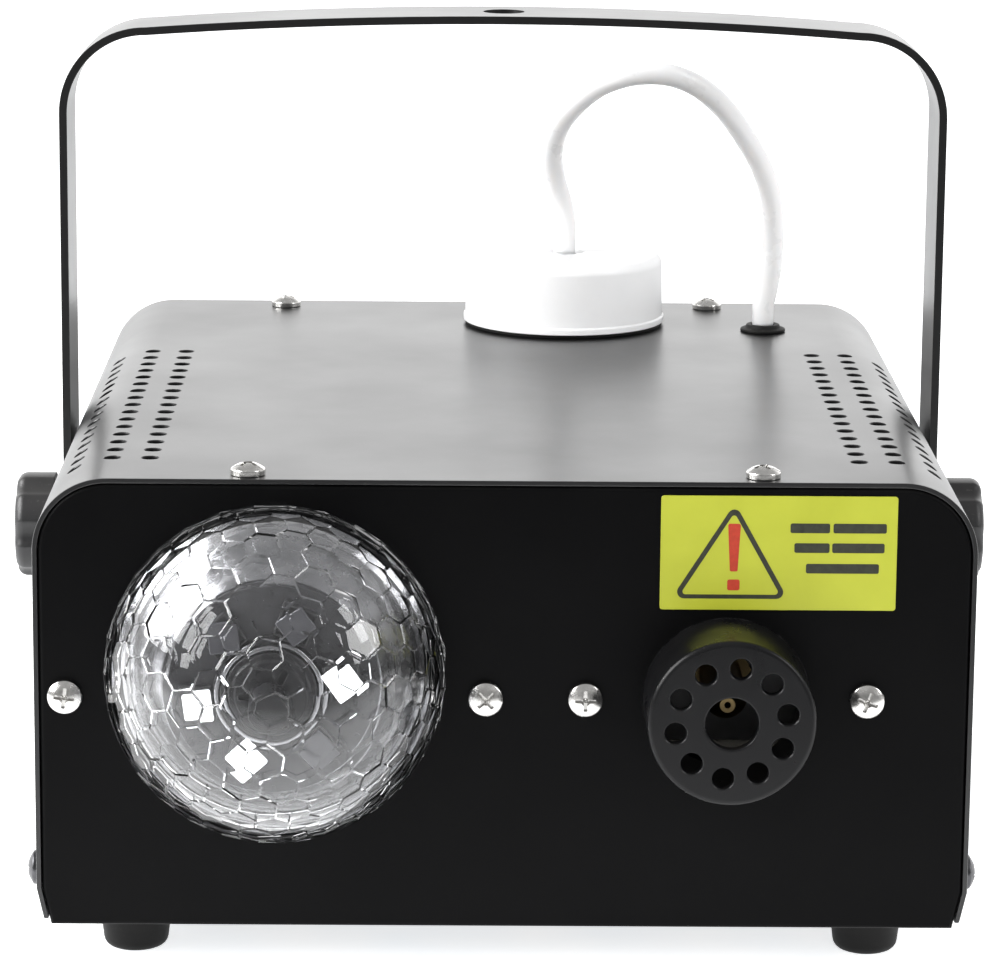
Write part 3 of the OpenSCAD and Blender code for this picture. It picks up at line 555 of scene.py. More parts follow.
# Painted shade darkens the cap's colour on its edges and on its top, which is seen at a slant.
CAP_WHITE = Finish("cap_moulded_white", (0.9, 0.9, 0.905), 0.36, grain_size=0.7, relief=0.012,
                   patch_size=18.0, tone=0.02, subsurface=0.2, dust=0.015, edge_shade=0.8)
BOARD_GREEN = Finish("board_green", (0.015, 0.12, 0.045), 0.3, grain=Grain.WEAVE, grain_size=6.0,
                     relief=0.02, patch_size=9.0, tone=0.35)
CORE_STEEL = Finish("core_laminations", (0.28, 0.27, 0.26), 0.45, 0.8, grain=Grain.WINDINGS,
                    grain_size=7.0, relief=0.05, patch_size=9.0, tone=0.2)
PART_BLUE = Finish("part_blue", (0.03, 0.1, 0.3), 0.4, grain_size=0.6, relief=0.012,
                   patch_size=7.0, tone=0.25)
PIN_NICKEL = Finish("pin_nickel", (0.68, 0.67, 0.64), 0.22, 1.0, grain=Grain.STREAKS,
                    along=(0.0, 0.96, 0.0), grain_size=0.4, relief=0.004, patch_size=3.0, tone=0.12)
SWITCH_RED = Finish("switch_red", (0.42, 0.012, 0.01), 0.26, grain_size=0.5, relief=0.006,
                    patch_size=6.0, tone=0.15, coat=0.3, dust=0.06)
STICKER_YELLOW = Finish("sticker_yellow", (0.36, 0.385, 0.026), 0.34, grain_size=0.9, relief=0.004,
                        patch_size=13.0, tone=0.05, coat=0.25)
INK_BLACK = Finish("ink_black", (0.02, 0.022, 0.012), 0.4, grain_size=0.25, relief=0.002,
                   patch_size=1.2, tone=0.35)
INK_RED = Finish("ink_red", (0.36, 0.03, 0.012), 0.38, grain_size=0.25, relief=0.002,
                 patch_size=1.4, tone=0.15)
INK_WHITE = Finish("ink_white", (0.75, 0.75, 0.74), 0.4, grain_size=0.25, relief=0.002,
                   patch_size=1.2, tone=0.08)


# --- shapes

class Facing(Enum):
    """Which way a shape's local +Z points: the local X, Y and Z axes in the part's frame."""

    UP = ((1, 0, 0), (0, 1, 0), (0, 0, 1))
    FRONT = ((1, 0, 0), (0, 0, 1), (0, -1, 0))
    REAR = ((-1, 0, 0), (0, 0, 1), (0, 1, 0))
    RIGHT = ((0, 1, 0), (0, 0, 1), (1, 0, 0))
    LEFT = ((0, -1, 0), (0, 0, 1), (-1, 0, 0))

    def at(self, x: float, y: float, z: float) -> Matrix:
        """Matrix that turns a local shape this way and puts its origin at a place.

        Args:
            x: Across.
            y: Along.
            z: Up, all in millimetres.

        Returns:
            The matrix.
        """
        matrix = Matrix(self.value).transposed().to_4x4()
        matrix.translation = (x, y, z)
        return matrix


@dataclass(frozen=True)
class Span:
    """Box of a CAD node at rest, in millimetres."""

    low: Vector
    high: Vector

    @classmethod
    def of(cls, node: str) -> "Span":
        """The box of the named node."""
        low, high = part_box(node)
        return cls(low / MM, high / MM)

    @property
    def middle(self) -> Vector:
        """Centre of the box."""
        return (self.low + self.high) / 2


def arc(radius: float, first: float, last: float, steps: int,
        middle: Point2 = (0.0, 0.0)) -> list[Point2]:
    """Points along a circle between two angles, both ends included."""
    return [(middle[0] + radius * math.cos(a), middle[1] + radius * math.sin(a))
            for a in (first + (last - first) * k / steps for k in range(steps + 1))]


def filleted(corners: Iterable[Sequence[float]], steps: int = 6) -> list[Point2]:
    """Rounds the corners of an outline.

    Args:
        corners: (x, y) or (x, y, radius) in order round the outline.
        steps: Segments of each round corner.

    Returns:
        The outline's points.
    """
    corners = list(corners)
    points: list[Point2] = []
    for i, corner in enumerate(corners):
        here = Vector(corner[:2])
        radius = corner[2] if len(corner) > 2 else 0.0
        if not radius:
            points.append(tuple(here))
            continue
        before = (Vector(corners[i - 1][:2]) - here).normalized()
        after = (Vector(corners[(i + 1) % len(corners)][:2]) - here).normalized()
        half = before.angle(after) / 2
        centre = here + (before + after).normalized() * (radius / math.sin(half))
        start = here + before * (radius / math.tan(half)) - centre
        end = here + after * (radius / math.tan(half)) - centre
        first = math.atan2(start.y, start.x)
        turn = math.atan2(start.x * end.y - start.y * end.x, start.dot(end))
        points += arc(radius, first, first + turn, steps, tuple(centre))
    return points


def rounded_rectangle(width: float, height: float, radius: float,
                      middle: Point2 = (0.0, 0.0), steps: int = 6) -> list[Point2]:
    """Outline of a rectangle with round corners about a middle point."""
    x, y = middle
    return filleted([(x + a * width / 2, y + b * height / 2, radius)
                     for a, b in ((-1, -1), (1, -1), (1, 1), (-1, 1))], steps)


def stadium(half_length: float, radius: float, steps: int = 16) -> list[Point2]:
    """Outline of a bar along local X with round ends."""
    quarter = math.pi / 2
    return (arc(radius, -quarter, quarter, steps, (half_length, 0))
            + arc(radius, quarter, 3 * quarter, steps, (-half_length, 0)))


class Shape:
    """A solid in the making, in millimetres, that ends as one finished piece."""

    def __init__(self, name: str, solid: bmesh.types.BMesh) -> None:
        """Takes over a bmesh.

        Args:
            name: The piece's name.
            solid: The faces; freed here.
        """
        bmesh.ops.remove_doubles(solid, verts=solid.verts, dist=1e-4)
        bmesh.ops.recalc_face_normals(solid, faces=solid.faces)
        mesh = bpy.data.meshes.new(name)
        solid.to_mesh(mesh)
        solid.free()
        self.obj = bpy.data.objects.new(name, mesh)
        bpy.context.scene.collection.objects.link(self.obj)

    @classmethod
    def lathe(cls, name: str, profile: Sequence[Point2], segments: int = 64,
              ring: bool = False) -> "Shape":
        """Turns a profile about local Z.

        Args:
            name: The piece's name.
            profile: (radius, height) points.
            segments: Steps round the axis.
            ring: Whether the profile closes on itself instead of on the axis.

        Returns:
            The turned shape.
        """
        solid = bmesh.new()
        turns = []
        for i in range(segments):
            a = math.tau * i / segments
            turns.append([solid.verts.new((r * math.cos(a), r * math.sin(a), h))
                          for r, h in profile])
        count = len(profile)
        for i, here in enumerate(turns):
            after = turns[(i + 1) % segments]
            for j in range(count if ring else count - 1):
                k = (j + 1) % count
                solid.faces.new((here[j], after[j], after[k], here[k]))
        return cls(name, solid)

    @classmethod
    def prism(cls, name: str, outline: Sequence[Point2], low: float, high: float) -> "Shape":
        """Extrudes an outline along local Z from low to high.

        Args:
            name: The piece's name.
            outline: Points in local X and Y.
            low: Height of one end.
            high: Height of the other.

        Returns:
            The shape.
        """
        solid = bmesh.new()
        ends = [[solid.verts.new((x, y, z)) for x, y in outline] for z in (low, high)]
        for end in ends:
            solid.faces.new(end)
        for i in range(len(outline)):
            j = (i + 1) % len(outline)
            solid.faces.new((ends[0][i], ends[0][j], ends[1][j], ends[1][i]))
        return cls(name, solid)

    @classmethod
    def ribbon(cls, name: str, path: Sequence[Point2], thickness: float, width: float) -> "Shape":
        """Sweeps a flat strap along a path in local X and Y.

        Args:
            name: The piece's name.
            path: The strap's middle line.
            thickness: Across the path, in its plane.
            width: Along local Z.

        Returns:
            The strap, closed at both ends.
        """
        solid = bmesh.new()
        rings = []
        for i, point in enumerate(path):
            along = Vector(path[min(i + 1, len(path) - 1)]) - Vector(path[max(i - 1, 0)])
            across = Vector((-along.y, along.x)).normalized() * thickness / 2
            rings.append([solid.verts.new((point[0] + s * across.x, point[1] + s * across.y, w))
                          for s, w in ((-1, -width / 2), (1, -width / 2), (1, width / 2),
                                       (-1, width / 2))])
        for here, after in zip(rings, rings[1:]):
            for k in range(4):
                solid.faces.new((here[k], here[(k + 1) % 4], after[(k + 1) % 4], after[k]))
        solid.faces.new(rings[0])
        solid.faces.new(rings[-1])
        return cls(name, solid)

    @classmethod
    def points(cls, name: str, places: Sequence[tuple[Vector, Facing]]) -> "Shape":
        """Loose points that carry which way a copy on each should face.

        Args:
            name: The piece's name.
            places: Where each copy stands, and its facing.

        Returns:
            The points, for the copies_on_points tree.
        """
        shape = cls(name, bmesh.new())
        mesh = shape.obj.data
        mesh.vertices.add(len(places))
        aims = mesh.attributes.new("aim", "FLOAT_VECTOR", "POINT")
        for i, (place, facing) in enumerate(places):
            mesh.vertices[i].co = place
            aims.data[i].vector = facing.at(0, 0, 0).to_euler()
        return shape

    def put(self, place: Matrix) -> "Shape":
        """Moves the mesh itself, and returns the shape."""
        self.obj.data.transform(place)
        return self

    def drop(self) -> None:
        """Removes a shape that was only a tool."""
        mesh = self.obj.data
        bpy.data.objects.remove(self.obj)
        bpy.data.meshes.remove(mesh)

    def apply(self) -> "Shape":
        """Turns what the modifiers show into a plain mesh, and returns the shape.

        Returns:
            The shape.
        """
        graph = bpy.context.evaluated_depsgraph_get()
        mesh = bpy.data.meshes.new_from_object(self.obj.evaluated_get(graph),
                                               preserve_all_data_layers=True, depsgraph=graph)
        old = self.obj.data
        self.obj.modifiers.clear()
        self.obj.data = mesh
        bpy.data.meshes.remove(old)
        return self

    def _boolean(self, operation: str, tools: Sequence["Shape"]) -> "Shape":
        """Runs one boolean for each tool, removes the tools and returns the shape.

        Args:
            operation: The boolean's kind.
            tools: The other shapes, used up here.

        Returns:
            The shape.
        """
        for tool in tools:
            modifier = self.obj.modifiers.new(operation.lower(), "BOOLEAN")
            modifier.operation = operation
            modifier.object = tool.obj
            modifier.solver = "MANIFOLD"
        self.apply()
        for tool in tools:
            tool.drop()
        return self

    def cut(self, *tools: "Shape") -> "Shape":
        """Takes other shapes away from this one."""
        return self._boolean("DIFFERENCE", tools)

    def keep(self, tool: "Shape") -> "Shape":
        """Keeps only what lies inside another shape."""
        return self._boolean("INTERSECT", [tool])

    def fuse(self, *tools: "Shape") -> "Shape":
        """Adds other shapes to this one as one solid."""
        return self._boolean("UNION", tools)

    def beside(self, *others: "Shape") -> "Shape":
        """Adds other shapes that stand apart, without fusing them.

        Args:
            others: The shapes to add, used up here.

        Returns:
            The shape.
        """
        solid = bmesh.new()
        for shape in (self, *others):
            solid.from_mesh(shape.obj.data)
        solid.to_mesh(self.obj.data)
        solid.free()
        for other in others:
            other.drop()
        return self

    def ease(self, width: float, segments: int = 2, angle: float = 40.0) -> "Shape":
        """Rounds every edge sharper than an angle in degrees.

        Args:
            width: The round edge's width.
            segments: Its steps.
            angle: Edges bent less than this stay.

        Returns:
            The shape.
        """
        bevel = self.obj.modifiers.new("ease", "BEVEL")
        bevel.width = width
        bevel.segments = segments
        bevel.limit_method = "ANGLE"
        bevel.angle_limit = math.radians(angle)
        bevel.harden_normals = False
        return self.apply()

    def ease_end(self, height: float, width: float, segments: int = 4) -> "Shape":
        """Rounds the rim of the flat end that lies at one local height.

        Args:
            height: Where the end lies.
            width: The round edge's width.
            segments: Its steps.

        Returns:
            The shape.
        """
        solid = bmesh.new()
        solid.from_mesh(self.obj.data)
        rim = [e for e in solid.edges if all(abs(v.co.z - height) < 1e-3 for v in e.verts)]
        bmesh.ops.bevel(solid, geom=rim, offset=width, segments=segments, profile=0.5,
                        affect="EDGES")
        bmesh.ops.recalc_face_normals(solid, faces=solid.faces)
        solid.to_mesh(self.obj.data)
        solid.free()
        return self

    def grow(self, tree: Tree, **inputs: object) -> "Shape":
        """Runs a geometry tree on the shape and keeps its result as a plain mesh.

        Args:
            tree: The geometry tree.
            inputs: Its inputs by name, with _ for a space.

        Returns:
            The shape.
        """
        modifier = self.obj.modifiers.new(tree.name, "NODES")
        modifier.node_group = tree
        sockets = {item.name.replace(" ", "_"): item.identifier
                   for item in tree.interface.items_tree if item.in_out == "INPUT"}
        for name, value in inputs.items():
            modifier[sockets[name]] = value
        return self.apply()

    def repeat(self, tree: str, master: "Shape", finish: Finish, **inputs: object) -> "Shape":
        """Runs a tree that repeats a master, and removes the master.

        Args:
            tree: The geometry tree's name.
            master: The shape that is repeated.
            finish: What the result wears.
            inputs: The tree's other inputs.

        Returns:
            The shape.
        """
        self.grow(Trees.named(tree), Master=master.obj, Material=finish.material(), **inputs)
        master.drop()
        return self

    def finish(self, body: str, finish: Finish, replaces: Sequence[str] = (), slot: str = "",
               sharp: float = 32.0) -> bpy.types.Object:
        """Scales the shape to metres, smooths and dresses it, and hands it to the frame.

        Args:
            body: The CAD body that it moves with.
            finish: Its material.
            replaces: CAD nodes that it stands for.
            slot: The record's material slot; not used.
            sharp: Edges over this many degrees stay sharp.

        Returns:
            The finished object.
        """
        mesh = self.obj.data
        mesh.transform(Matrix.Scale(MM, 4))
        mesh.shade_smooth()
        mesh.set_sharp_from_angle(angle=math.radians(sharp))
        weigh = self.obj.modifiers.new("weigh", "WEIGHTED_NORMAL")
        weigh.keep_sharp = True
        self.apply()
        self.obj.data.materials.clear()
        self.obj.data.materials.append(finish.material())
        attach(self.obj, body)
        if replaces:
            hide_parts(*replaces)
        LOG.info("%s: %d faces on %s", self.obj.name, len(self.obj.data.polygons), body)
        return self.obj


def rod(name: str, radius: float, low: float, high: float, segments: int = 48) -> Shape:
    """Plain round bar along local Z, for cuts and cores."""
    return Shape.lathe(name, [(0, low), (radius, low), (radius, high), (0, high)], segments)


def block(name: str, size: Sequence[float], middle: Sequence[float]) -> Shape:
    """Plain box, for cuts and plates."""
    outline = rounded_rectangle(size[0], size[1], 0, (middle[0], middle[1]))
    return Shape.prism(name, outline, middle[2] - size[2] / 2, middle[2] + size[2] / 2)


# --- geometry trees

SOCKETS = {int: "NodeSocketInt", float: "NodeSocketFloat"}


class Trees(Library):
    """Geometry node trees for everything that repeats."""

    RING = {"Count": 6, "Radius": 10.0, "Start": 0.0, "Height": 0.0}

    @staticmethod
    def _start(name: str, numbers: dict[str, float], objects: Sequence[str] = ()
               ) -> tuple[Tree, Outputs]:
        """Starts a tree.

        Args:
            name: The tree's name.
            numbers: Number inputs with their usual values.
            objects: Names of its object inputs.

        Returns:
            The tree and its inputs' sockets.
        """
        tree = bpy.data.node_groups.new(name, "GeometryNodeTree")
        sockets = tree.interface
        sockets.new_socket("Geometry", in_out="INPUT", socket_type="NodeSocketGeometry")
        sockets.new_socket("Geometry", in_out="OUTPUT", socket_type="NodeSocketGeometry")
        for number, value in numbers.items():
            socket = sockets.new_socket(number, in_out="INPUT", socket_type=SOCKETS[type(value)])
            socket.default_value = value
        for thing in objects:
            sockets.new_socket(thing, in_out="INPUT", socket_type="NodeSocketObject")
        sockets.new_socket("Material", in_out="INPUT", socket_type="NodeSocketMaterial")
        return tree, tree.nodes.new("NodeGroupInput").outputs

    @staticmethod
    def _end(tree: Tree, given: Outputs,
             geometry: Socket) -> Tree:
        """Ends a tree in real geometry that wears the given material, and returns it.

        Args:
            tree: The tree.
            given: Its inputs.
            geometry: What it has made.

        Returns:
            The tree.
        """
        real = add_node(tree, "GeometryNodeRealizeInstances", {"Geometry": geometry})
        dressed = add_node(tree, "GeometryNodeSetMaterial", {"Geometry": real.outputs[0],
                                                             "Material": given["Material"]})
        add_node(tree, "NodeGroupOutput", {0: dressed.outputs[0]})
        return tree

    @staticmethod
    def _object(tree: Tree, source: Socket) -> Socket:
        """Geometry of an object input."""
        return add_node(tree, "GeometryNodeObjectInfo", {"Object": source}).outputs["Geometry"]

    @staticmethod
    def _cut(tree: Tree, solid: Socket, tools: Socket) -> Socket:
        """Takes instances away from a solid.

        Args:
            tree: The tree.
            solid: What is cut.
            tools: The instances that cut it.

        Returns:
            The cut solid.
        """
        real = add_node(tree, "GeometryNodeRealizeInstances", {"Geometry": tools})
        inputs = {"Mesh 1": solid, "Mesh 2": real.outputs[0]}
        return add_node(tree, "GeometryNodeMeshBoolean", inputs, operation="DIFFERENCE",
                        solver="MANIFOLD").outputs[0]

    @classmethod
    def _vent_fields(cls) -> Tree:
        """Punches two mirrored fields of holes: columns on the flat top and one on each corner.

        Returns:
            The new tree.
        """
        tree, given = cls._start("vent_fields", {
            "Rows": 16, "Pitch": 9.3, "First Row": 0.0, "Inner Column": 84.0, "Outer Column": 93.0,
            "Top": 100.0, "Corner X": 90.0, "Corner Z": 90.0, "Corner Radius": 17.0,
            "Corner Turn": 0.5}, ["Master"])
        punch = cls._object(tree, given["Master"])
        cutters = tree.nodes.new("GeometryNodeJoinGeometry")
        turn, radius = given["Corner Turn"], given["Corner Radius"]
        corner_x = sums(tree, "ADD", given["Corner X"],
                        sums(tree, "MULTIPLY", radius, sums(tree, "SINE", turn)))
        corner_z = sums(tree, "ADD", given["Corner Z"],
                        sums(tree, "MULTIPLY", radius, sums(tree, "COSINE", turn)))
        columns = ((given["Inner Column"], given["Top"], 0.0),
                   (given["Outer Column"], given["Top"], 0.0), (corner_x, corner_z, turn))
        for side in SIDES:
            for x, z, lean in columns:
                start = vector_of(tree, sums(tree, "MULTIPLY", x, float(side)),
                                  given["First Row"], z)
                line = add_node(tree, "GeometryNodeMeshLine", {
                    "Count": given["Rows"], "Start Location": start,
                    "Offset": vector_of(tree, 0.0, given["Pitch"], 0.0)})
                aim = vector_of(tree, 0.0, sums(tree, "MULTIPLY", lean, float(side)), 0.0)
                copies = add_node(tree, "GeometryNodeInstanceOnPoints", {
                    "Points": line.outputs[0], "Instance": punch, "Rotation": aim})
                tree.links.new(copies.outputs[0], cutters.inputs[0])
        return cls._end(tree, given, cls._cut(tree, given["Geometry"], cutters.outputs[0]))

    @classmethod
    def _ring(cls, tree: Tree, given: Outputs) -> Socket:
        """Copies of the Master object round local Z, as instances.

        Args:
            tree: The tree.
            given: Its inputs.

        Returns:
            The instances.
        """
        line = add_node(tree, "GeometryNodeMeshLine", {"Count": given["Count"],
                                                       "Offset": (0.0, 0.0, 0.0)})
        step = sums(tree, "DIVIDE", math.tau, given["Count"])
        index = add_node(tree, "GeometryNodeInputIndex").outputs[0]
        angle = sums(tree, "ADD", given["Start"], sums(tree, "MULTIPLY", index, step))
        across, along = (sums(tree, "MULTIPLY", given["Radius"], sums(tree, operation, angle))
                         for operation in ("COSINE", "SINE"))
        place = vector_of(tree, across, along, given["Height"])
        placed = add_node(tree, "GeometryNodeSetPosition", {"Geometry": line.outputs[0],
                                                            "Position": place})
        copies = add_node(tree, "GeometryNodeInstanceOnPoints", {
            "Points": placed.outputs[0], "Instance": cls._object(tree, given["Master"]),
            "Rotation": vector_of(tree, 0.0, 0.0, angle)})
        return copies.outputs[0]

    @classmethod
    def _ring_of_copies(cls) -> Tree:
        """Copies of a master round local Z, beside the given geometry.

        Returns:
            The new tree.
        """
        tree, given = cls._start("ring_of_copies", cls.RING, ["Master"])
        join = add_node(tree, "GeometryNodeJoinGeometry")
        tree.links.new(cls._ring(tree, given), join.inputs[0])
        tree.links.new(given["Geometry"], join.inputs[0])
        return cls._end(tree, given, join.outputs[0])

    @classmethod
    def _ring_of_holes(cls) -> Tree:
        """Cuts a ring of copies of the master out of the given solid.

        Returns:
            The new tree.
        """
        tree, given = cls._start("ring_of_holes", cls.RING, ["Master"])
        return cls._end(tree, given, cls._cut(tree, given["Geometry"], cls._ring(tree, given)))

    @classmethod
    def _copies_on_points(cls) -> Tree:
        """A copy of the master on each point, aimed by its attribute and turned at random.

        Returns:
            The new tree.
        """
        tree, given = cls._start("copies_on_points", {"Seed": 1, "Twist": math.tau}, ["Master"])
        aim = add_node(tree, "GeometryNodeInputNamedAttribute", {"Name": "aim"},
                       data_type="FLOAT_VECTOR").outputs[0]
        copies = add_node(tree, "GeometryNodeInstanceOnPoints", {
            "Points": given["Geometry"], "Instance": cls._object(tree, given["Master"]),
            "Rotation": aim})
        chance = add_node(tree, "FunctionNodeRandomValue", data_type="FLOAT")
        tree.links.new(given["Twist"], chance.inputs[3])
        tree.links.new(given["Seed"], chance.inputs["Seed"])
        turned = add_node(tree, "GeometryNodeRotateInstances", {
            "Instances": copies.outputs[0], "Local Space": True,
            "Rotation": vector_of(tree, 0.0, 0.0, chance.outputs[1])})
        return cls._end(tree, given, turned.outputs[0])

    @classmethod
    def _crystal_facets(cls) -> Tree:
        """Turns a ball of triangles into flat facets that all touch one sphere, and hollows it.

        Each triangle becomes the corner where the facets over its three points meet. That corner
        lies on the triangle's normal, at the sphere's radius over the cosine between the two.
        """
        tree, given = cls._start("crystal_facets", {"Touch Radius": 39.7}, ["Cavity", "Half"])
        capture = add_node(tree, "GeometryNodeCaptureAttribute", domain="FACE")
        capture.capture_items.new("VECTOR", "Outwards")
        tree.links.new(given["Geometry"], capture.inputs[0])
        normal = add_node(tree, "GeometryNodeInputNormal").outputs[0]
        tree.links.new(normal, capture.inputs[1])
        dual = add_node(tree, "GeometryNodeDualMesh", {"Mesh": capture.outputs[0]})
        outwards = capture.outputs[1]
        centre = add_node(tree, "GeometryNodeInputPosition").outputs[0]
        depth = add_node(tree, "ShaderNodeVectorMath", {0: outwards, 1: centre},
                         operation="DOT_PRODUCT").outputs["Value"]
        reach = sums(tree, "DIVIDE", given["Touch Radius"], depth)
        corner = add_node(tree, "ShaderNodeVectorMath", {0: outwards, "Scale": reach},
                          operation="SCALE").outputs[0]
        faceted = add_node(tree, "GeometryNodeSetPosition", {"Geometry": dual.outputs[0],
                                                             "Position": corner}).outputs[0]
        for operation, first, tool in (("INTERSECT", "Mesh 2", "Half"),
                                       ("DIFFERENCE", "Mesh 1", "Cavity")):
            cut = add_node(tree, "GeometryNodeMeshBoolean", {first: faceted},
                           operation=operation, solver="MANIFOLD")
            tree.links.new(cls._object(tree, given[tool]), cut.inputs["Mesh 2"])
            faceted = cut.outputs[0]
        return cls._end(tree, given, faceted)


# --- cabinet

@dataclass
class Cabinet:
    """Sheet-metal housing: cover, two panels, tray, its screws and its feet."""

    sheet: float = 1.2
    corner_radius: float = 17.5
    taper_height: float = 9.0
    taper_in: float = 2.0
    gap: float = 0.15
    edge: float = 0.3
    bend: float = 1.1
    flange: float = 13.0
    tray_lip: float = 20.0
    vent_radius: float = 2.0
    vent_flare: float = 0.25
    vent_rows: int = 16
    vent_pitch: float = 9.3
    vent_first: float = 24.0
    vent_columns: Point2 = (84.0, 93.0)
    corner_turn: float = 33.0
    head_radius: float = 4.1
    head_height: float = 3.0
    head_rim: float = 1.5
    crown_turn: float = 0.62
    cross: Point2 = (4.9, 0.85)
    shank_radius: float = 2.0
    neck_hole: float = 22.3
    hose_hole: float = 4.6
    lamp_hole: float = 36.5
    outlet_hole: float = 19.55
    inlet_hole: Point2 = (27.6, 31.6)
    switch_hole: Point2 = (18.4, 12.4)
    button_hole: float = 6.1
    arc_steps: int = 36
    shell: Span = field(default_factory=lambda: Span.of("top_cover"))
    base: Span = field(default_factory=lambda: Span.of("base_tray"))

    def arch(self, inset: float, low: float) -> list[Point2]:
        """Outline of the housing from one lower edge over the top to the other.

        Args:
            inset: How far inside the cover's outer face.
            low: Height of its lower ends.

        Returns:
            (x, z) points; the sides lean inwards at the bottom.
        """
        half, top, floor = self.shell.high.x - inset, self.shell.high.z - inset, self.base.low.z
        radius = self.corner_radius - inset
        lean = self.taper_in * (1 - (low - floor) / self.taper_height)
        corners = [(half - lean, low), (half, floor + self.taper_height), (half, top, radius)]
        right = filleted([*corners, (0, top)], self.arc_steps)[:-1]
        return right + [(-x, z) for x, z in reversed(right)]

    def build(self) -> None:
        """Makes every piece of the cabinet."""
        self.cover()
        self.front()
        self.rear()
        self.tray()
        self.screws()
        self.feet()

    def cover(self) -> None:
        """Bent cover with two fields of vents."""
        low, front, rear = self.shell.low.z, self.shell.low.y, self.shell.high.y
        strip = self.arch(0, low) + list(reversed(self.arch(self.sheet, low)))
        cover = Shape.prism("cover_shell", strip, -rear, -front).put(Facing.FRONT.at(0, 0, 0))
        cover.ease(self.edge, 2, 50)
        neck, hose = Span.of("neck_gasket").middle, Span.of("hose_grommet").middle
        top = self.shell.high.z
        cover.cut(rod("neck_hole", self.neck_hole, -4, 4).put(Facing.UP.at(neck.x, neck.y, top)),
                  rod("hose_hole", self.hose_hole, -4, 4).put(Facing.UP.at(hose.x, hose.y, top)))
        r, flare = self.vent_radius, self.vent_flare
        punch = Shape.lathe("vent_punch", [(0, -3), (r, -3), (r, -flare), (r + flare, 0),
                                           (r + flare, 1), (0, 1)], 28)
        radius = self.corner_radius
        cover.repeat("vent_fields", punch, COVER_BLACK, Rows=self.vent_rows,
                     Pitch=self.vent_pitch, First_Row=front + self.vent_first,
                     Inner_Column=self.vent_columns[0], Outer_Column=self.vent_columns[1],
                     Top=top, Corner_X=self.shell.high.x - radius, Corner_Z=top - radius,
                     Corner_Radius=radius, Corner_Turn=math.radians(self.corner_turn))
        cover.finish("housing", COVER_BLACK, ["top_cover"], "cover_black")

    def _panel(self, name: str) -> Shape:
        """Panel with a bent edge all round except at the tray, facing local +Z from z = 0.

        Args:
            name: The piece's name.

        Returns:
            The panel.
        """
        floor = self.base.low.z
        inset = self.sheet + self.gap
        lip = floor + self.tray_lip
        panel = Shape.prism(name, self.arch(inset, floor), -self.flange, 0)
        panel.ease_end(0, self.bend)
        inner = self.arch(inset + self.sheet, floor - 3)
        back = -self.flange - 1
        return panel.cut(
            Shape.prism("hollow", inner, back, -self.sheet),
            block("low_gap", (260, 2 * lip, self.flange + 1 - self.sheet),
                  (0, 0.3, (back - self.sheet) / 2)))

    def front(self) -> None:
        """Front panel with the holes for the lamp and the outlet."""
        dome, outlet = Span.of("crystal_dome").middle, Span.of("nozzle_shroud").middle
        panel = self._panel("front_sheet").cut(
            rod("lamp_hole", self.lamp_hole, -3, 1, 96).put(Facing.UP.at(dome.x, dome.z, 0)),
            rod("outlet_hole", self.outlet_hole, -3, 1, 96)
            .put(Facing.UP.at(outlet.x, outlet.z, 0)))
        panel.put(Facing.FRONT.at(0, self.shell.low.y, 0))
        panel.finish("housing", SHADED_PANEL_BLACK, ["front_panel"], "sheet_black")

    def rear(self) -> None:
        """Rear panel with the cut-outs for its fittings."""
        inlet, switch = Span.of("power_inlet").middle, Span.of("rocker_frame").middle
        button = Span.of("button_bezel").middle
        neck = Span.of("neck_gasket").middle
        place = Facing.REAR.at(0, self.shell.high.y, 0)
        panel = self._panel("rear_sheet").cut(
            block("inlet_hole", (*self.inlet_hole, 4), (-inlet.x, inlet.z, 0)),
            block("switch_hole", (*self.switch_hole, 4), (-switch.x, switch.z, 0)),
            rod("button_hole", self.button_hole, -3, 1).put(Facing.UP.at(-button.x, button.z, 0)),
            rod("neck_notch", self.neck_hole, 100, 119, 96)
            .put(place.inverted() @ Facing.UP.at(neck.x, neck.y, 0)))
        panel.put(place)
        panel.finish("housing", SHADED_PANEL_BLACK, ["rear_panel"], "sheet_black")

    def tray(self) -> None:
        """Bent base tray between the panels."""
        floor, half = self.base.low.z, self.base.high.x
        lip, knee = self.base.high.z, floor + self.taper_height

        def side(inset: float) -> list[Point2]:
            """Draws half of the tray's section.

            Args:
                inset: How far inside the tray's outer face.

            Returns:
                (x, z) points from the lip down.
            """
            foot = half - inset - self.taper_in * (1 - inset / self.taper_height)
            return [(half - inset, lip), (half - inset, knee), (foot, floor + inset)]

        outer, inner = side(0), side(self.sheet)
        foot_x, foot_z = outer[2]
        section = filleted([*outer[:2], (foot_x, foot_z, 1.5), (-foot_x, foot_z, 1.5),
                            *[(-x, z) for x, z in reversed(outer[:2])],
                            *[(-x, z) for x, z in inner], *reversed(inner)])
        tray = Shape.prism("tray_sheet", section, -self.base.high.y, -self.base.low.y)
        tray.put(Facing.FRONT.at(0, 0, 0)).ease(0.15, 1, 50)
        tray.finish("housing", SHADED_PANEL_BLACK, ["base_tray"], "sheet_black")

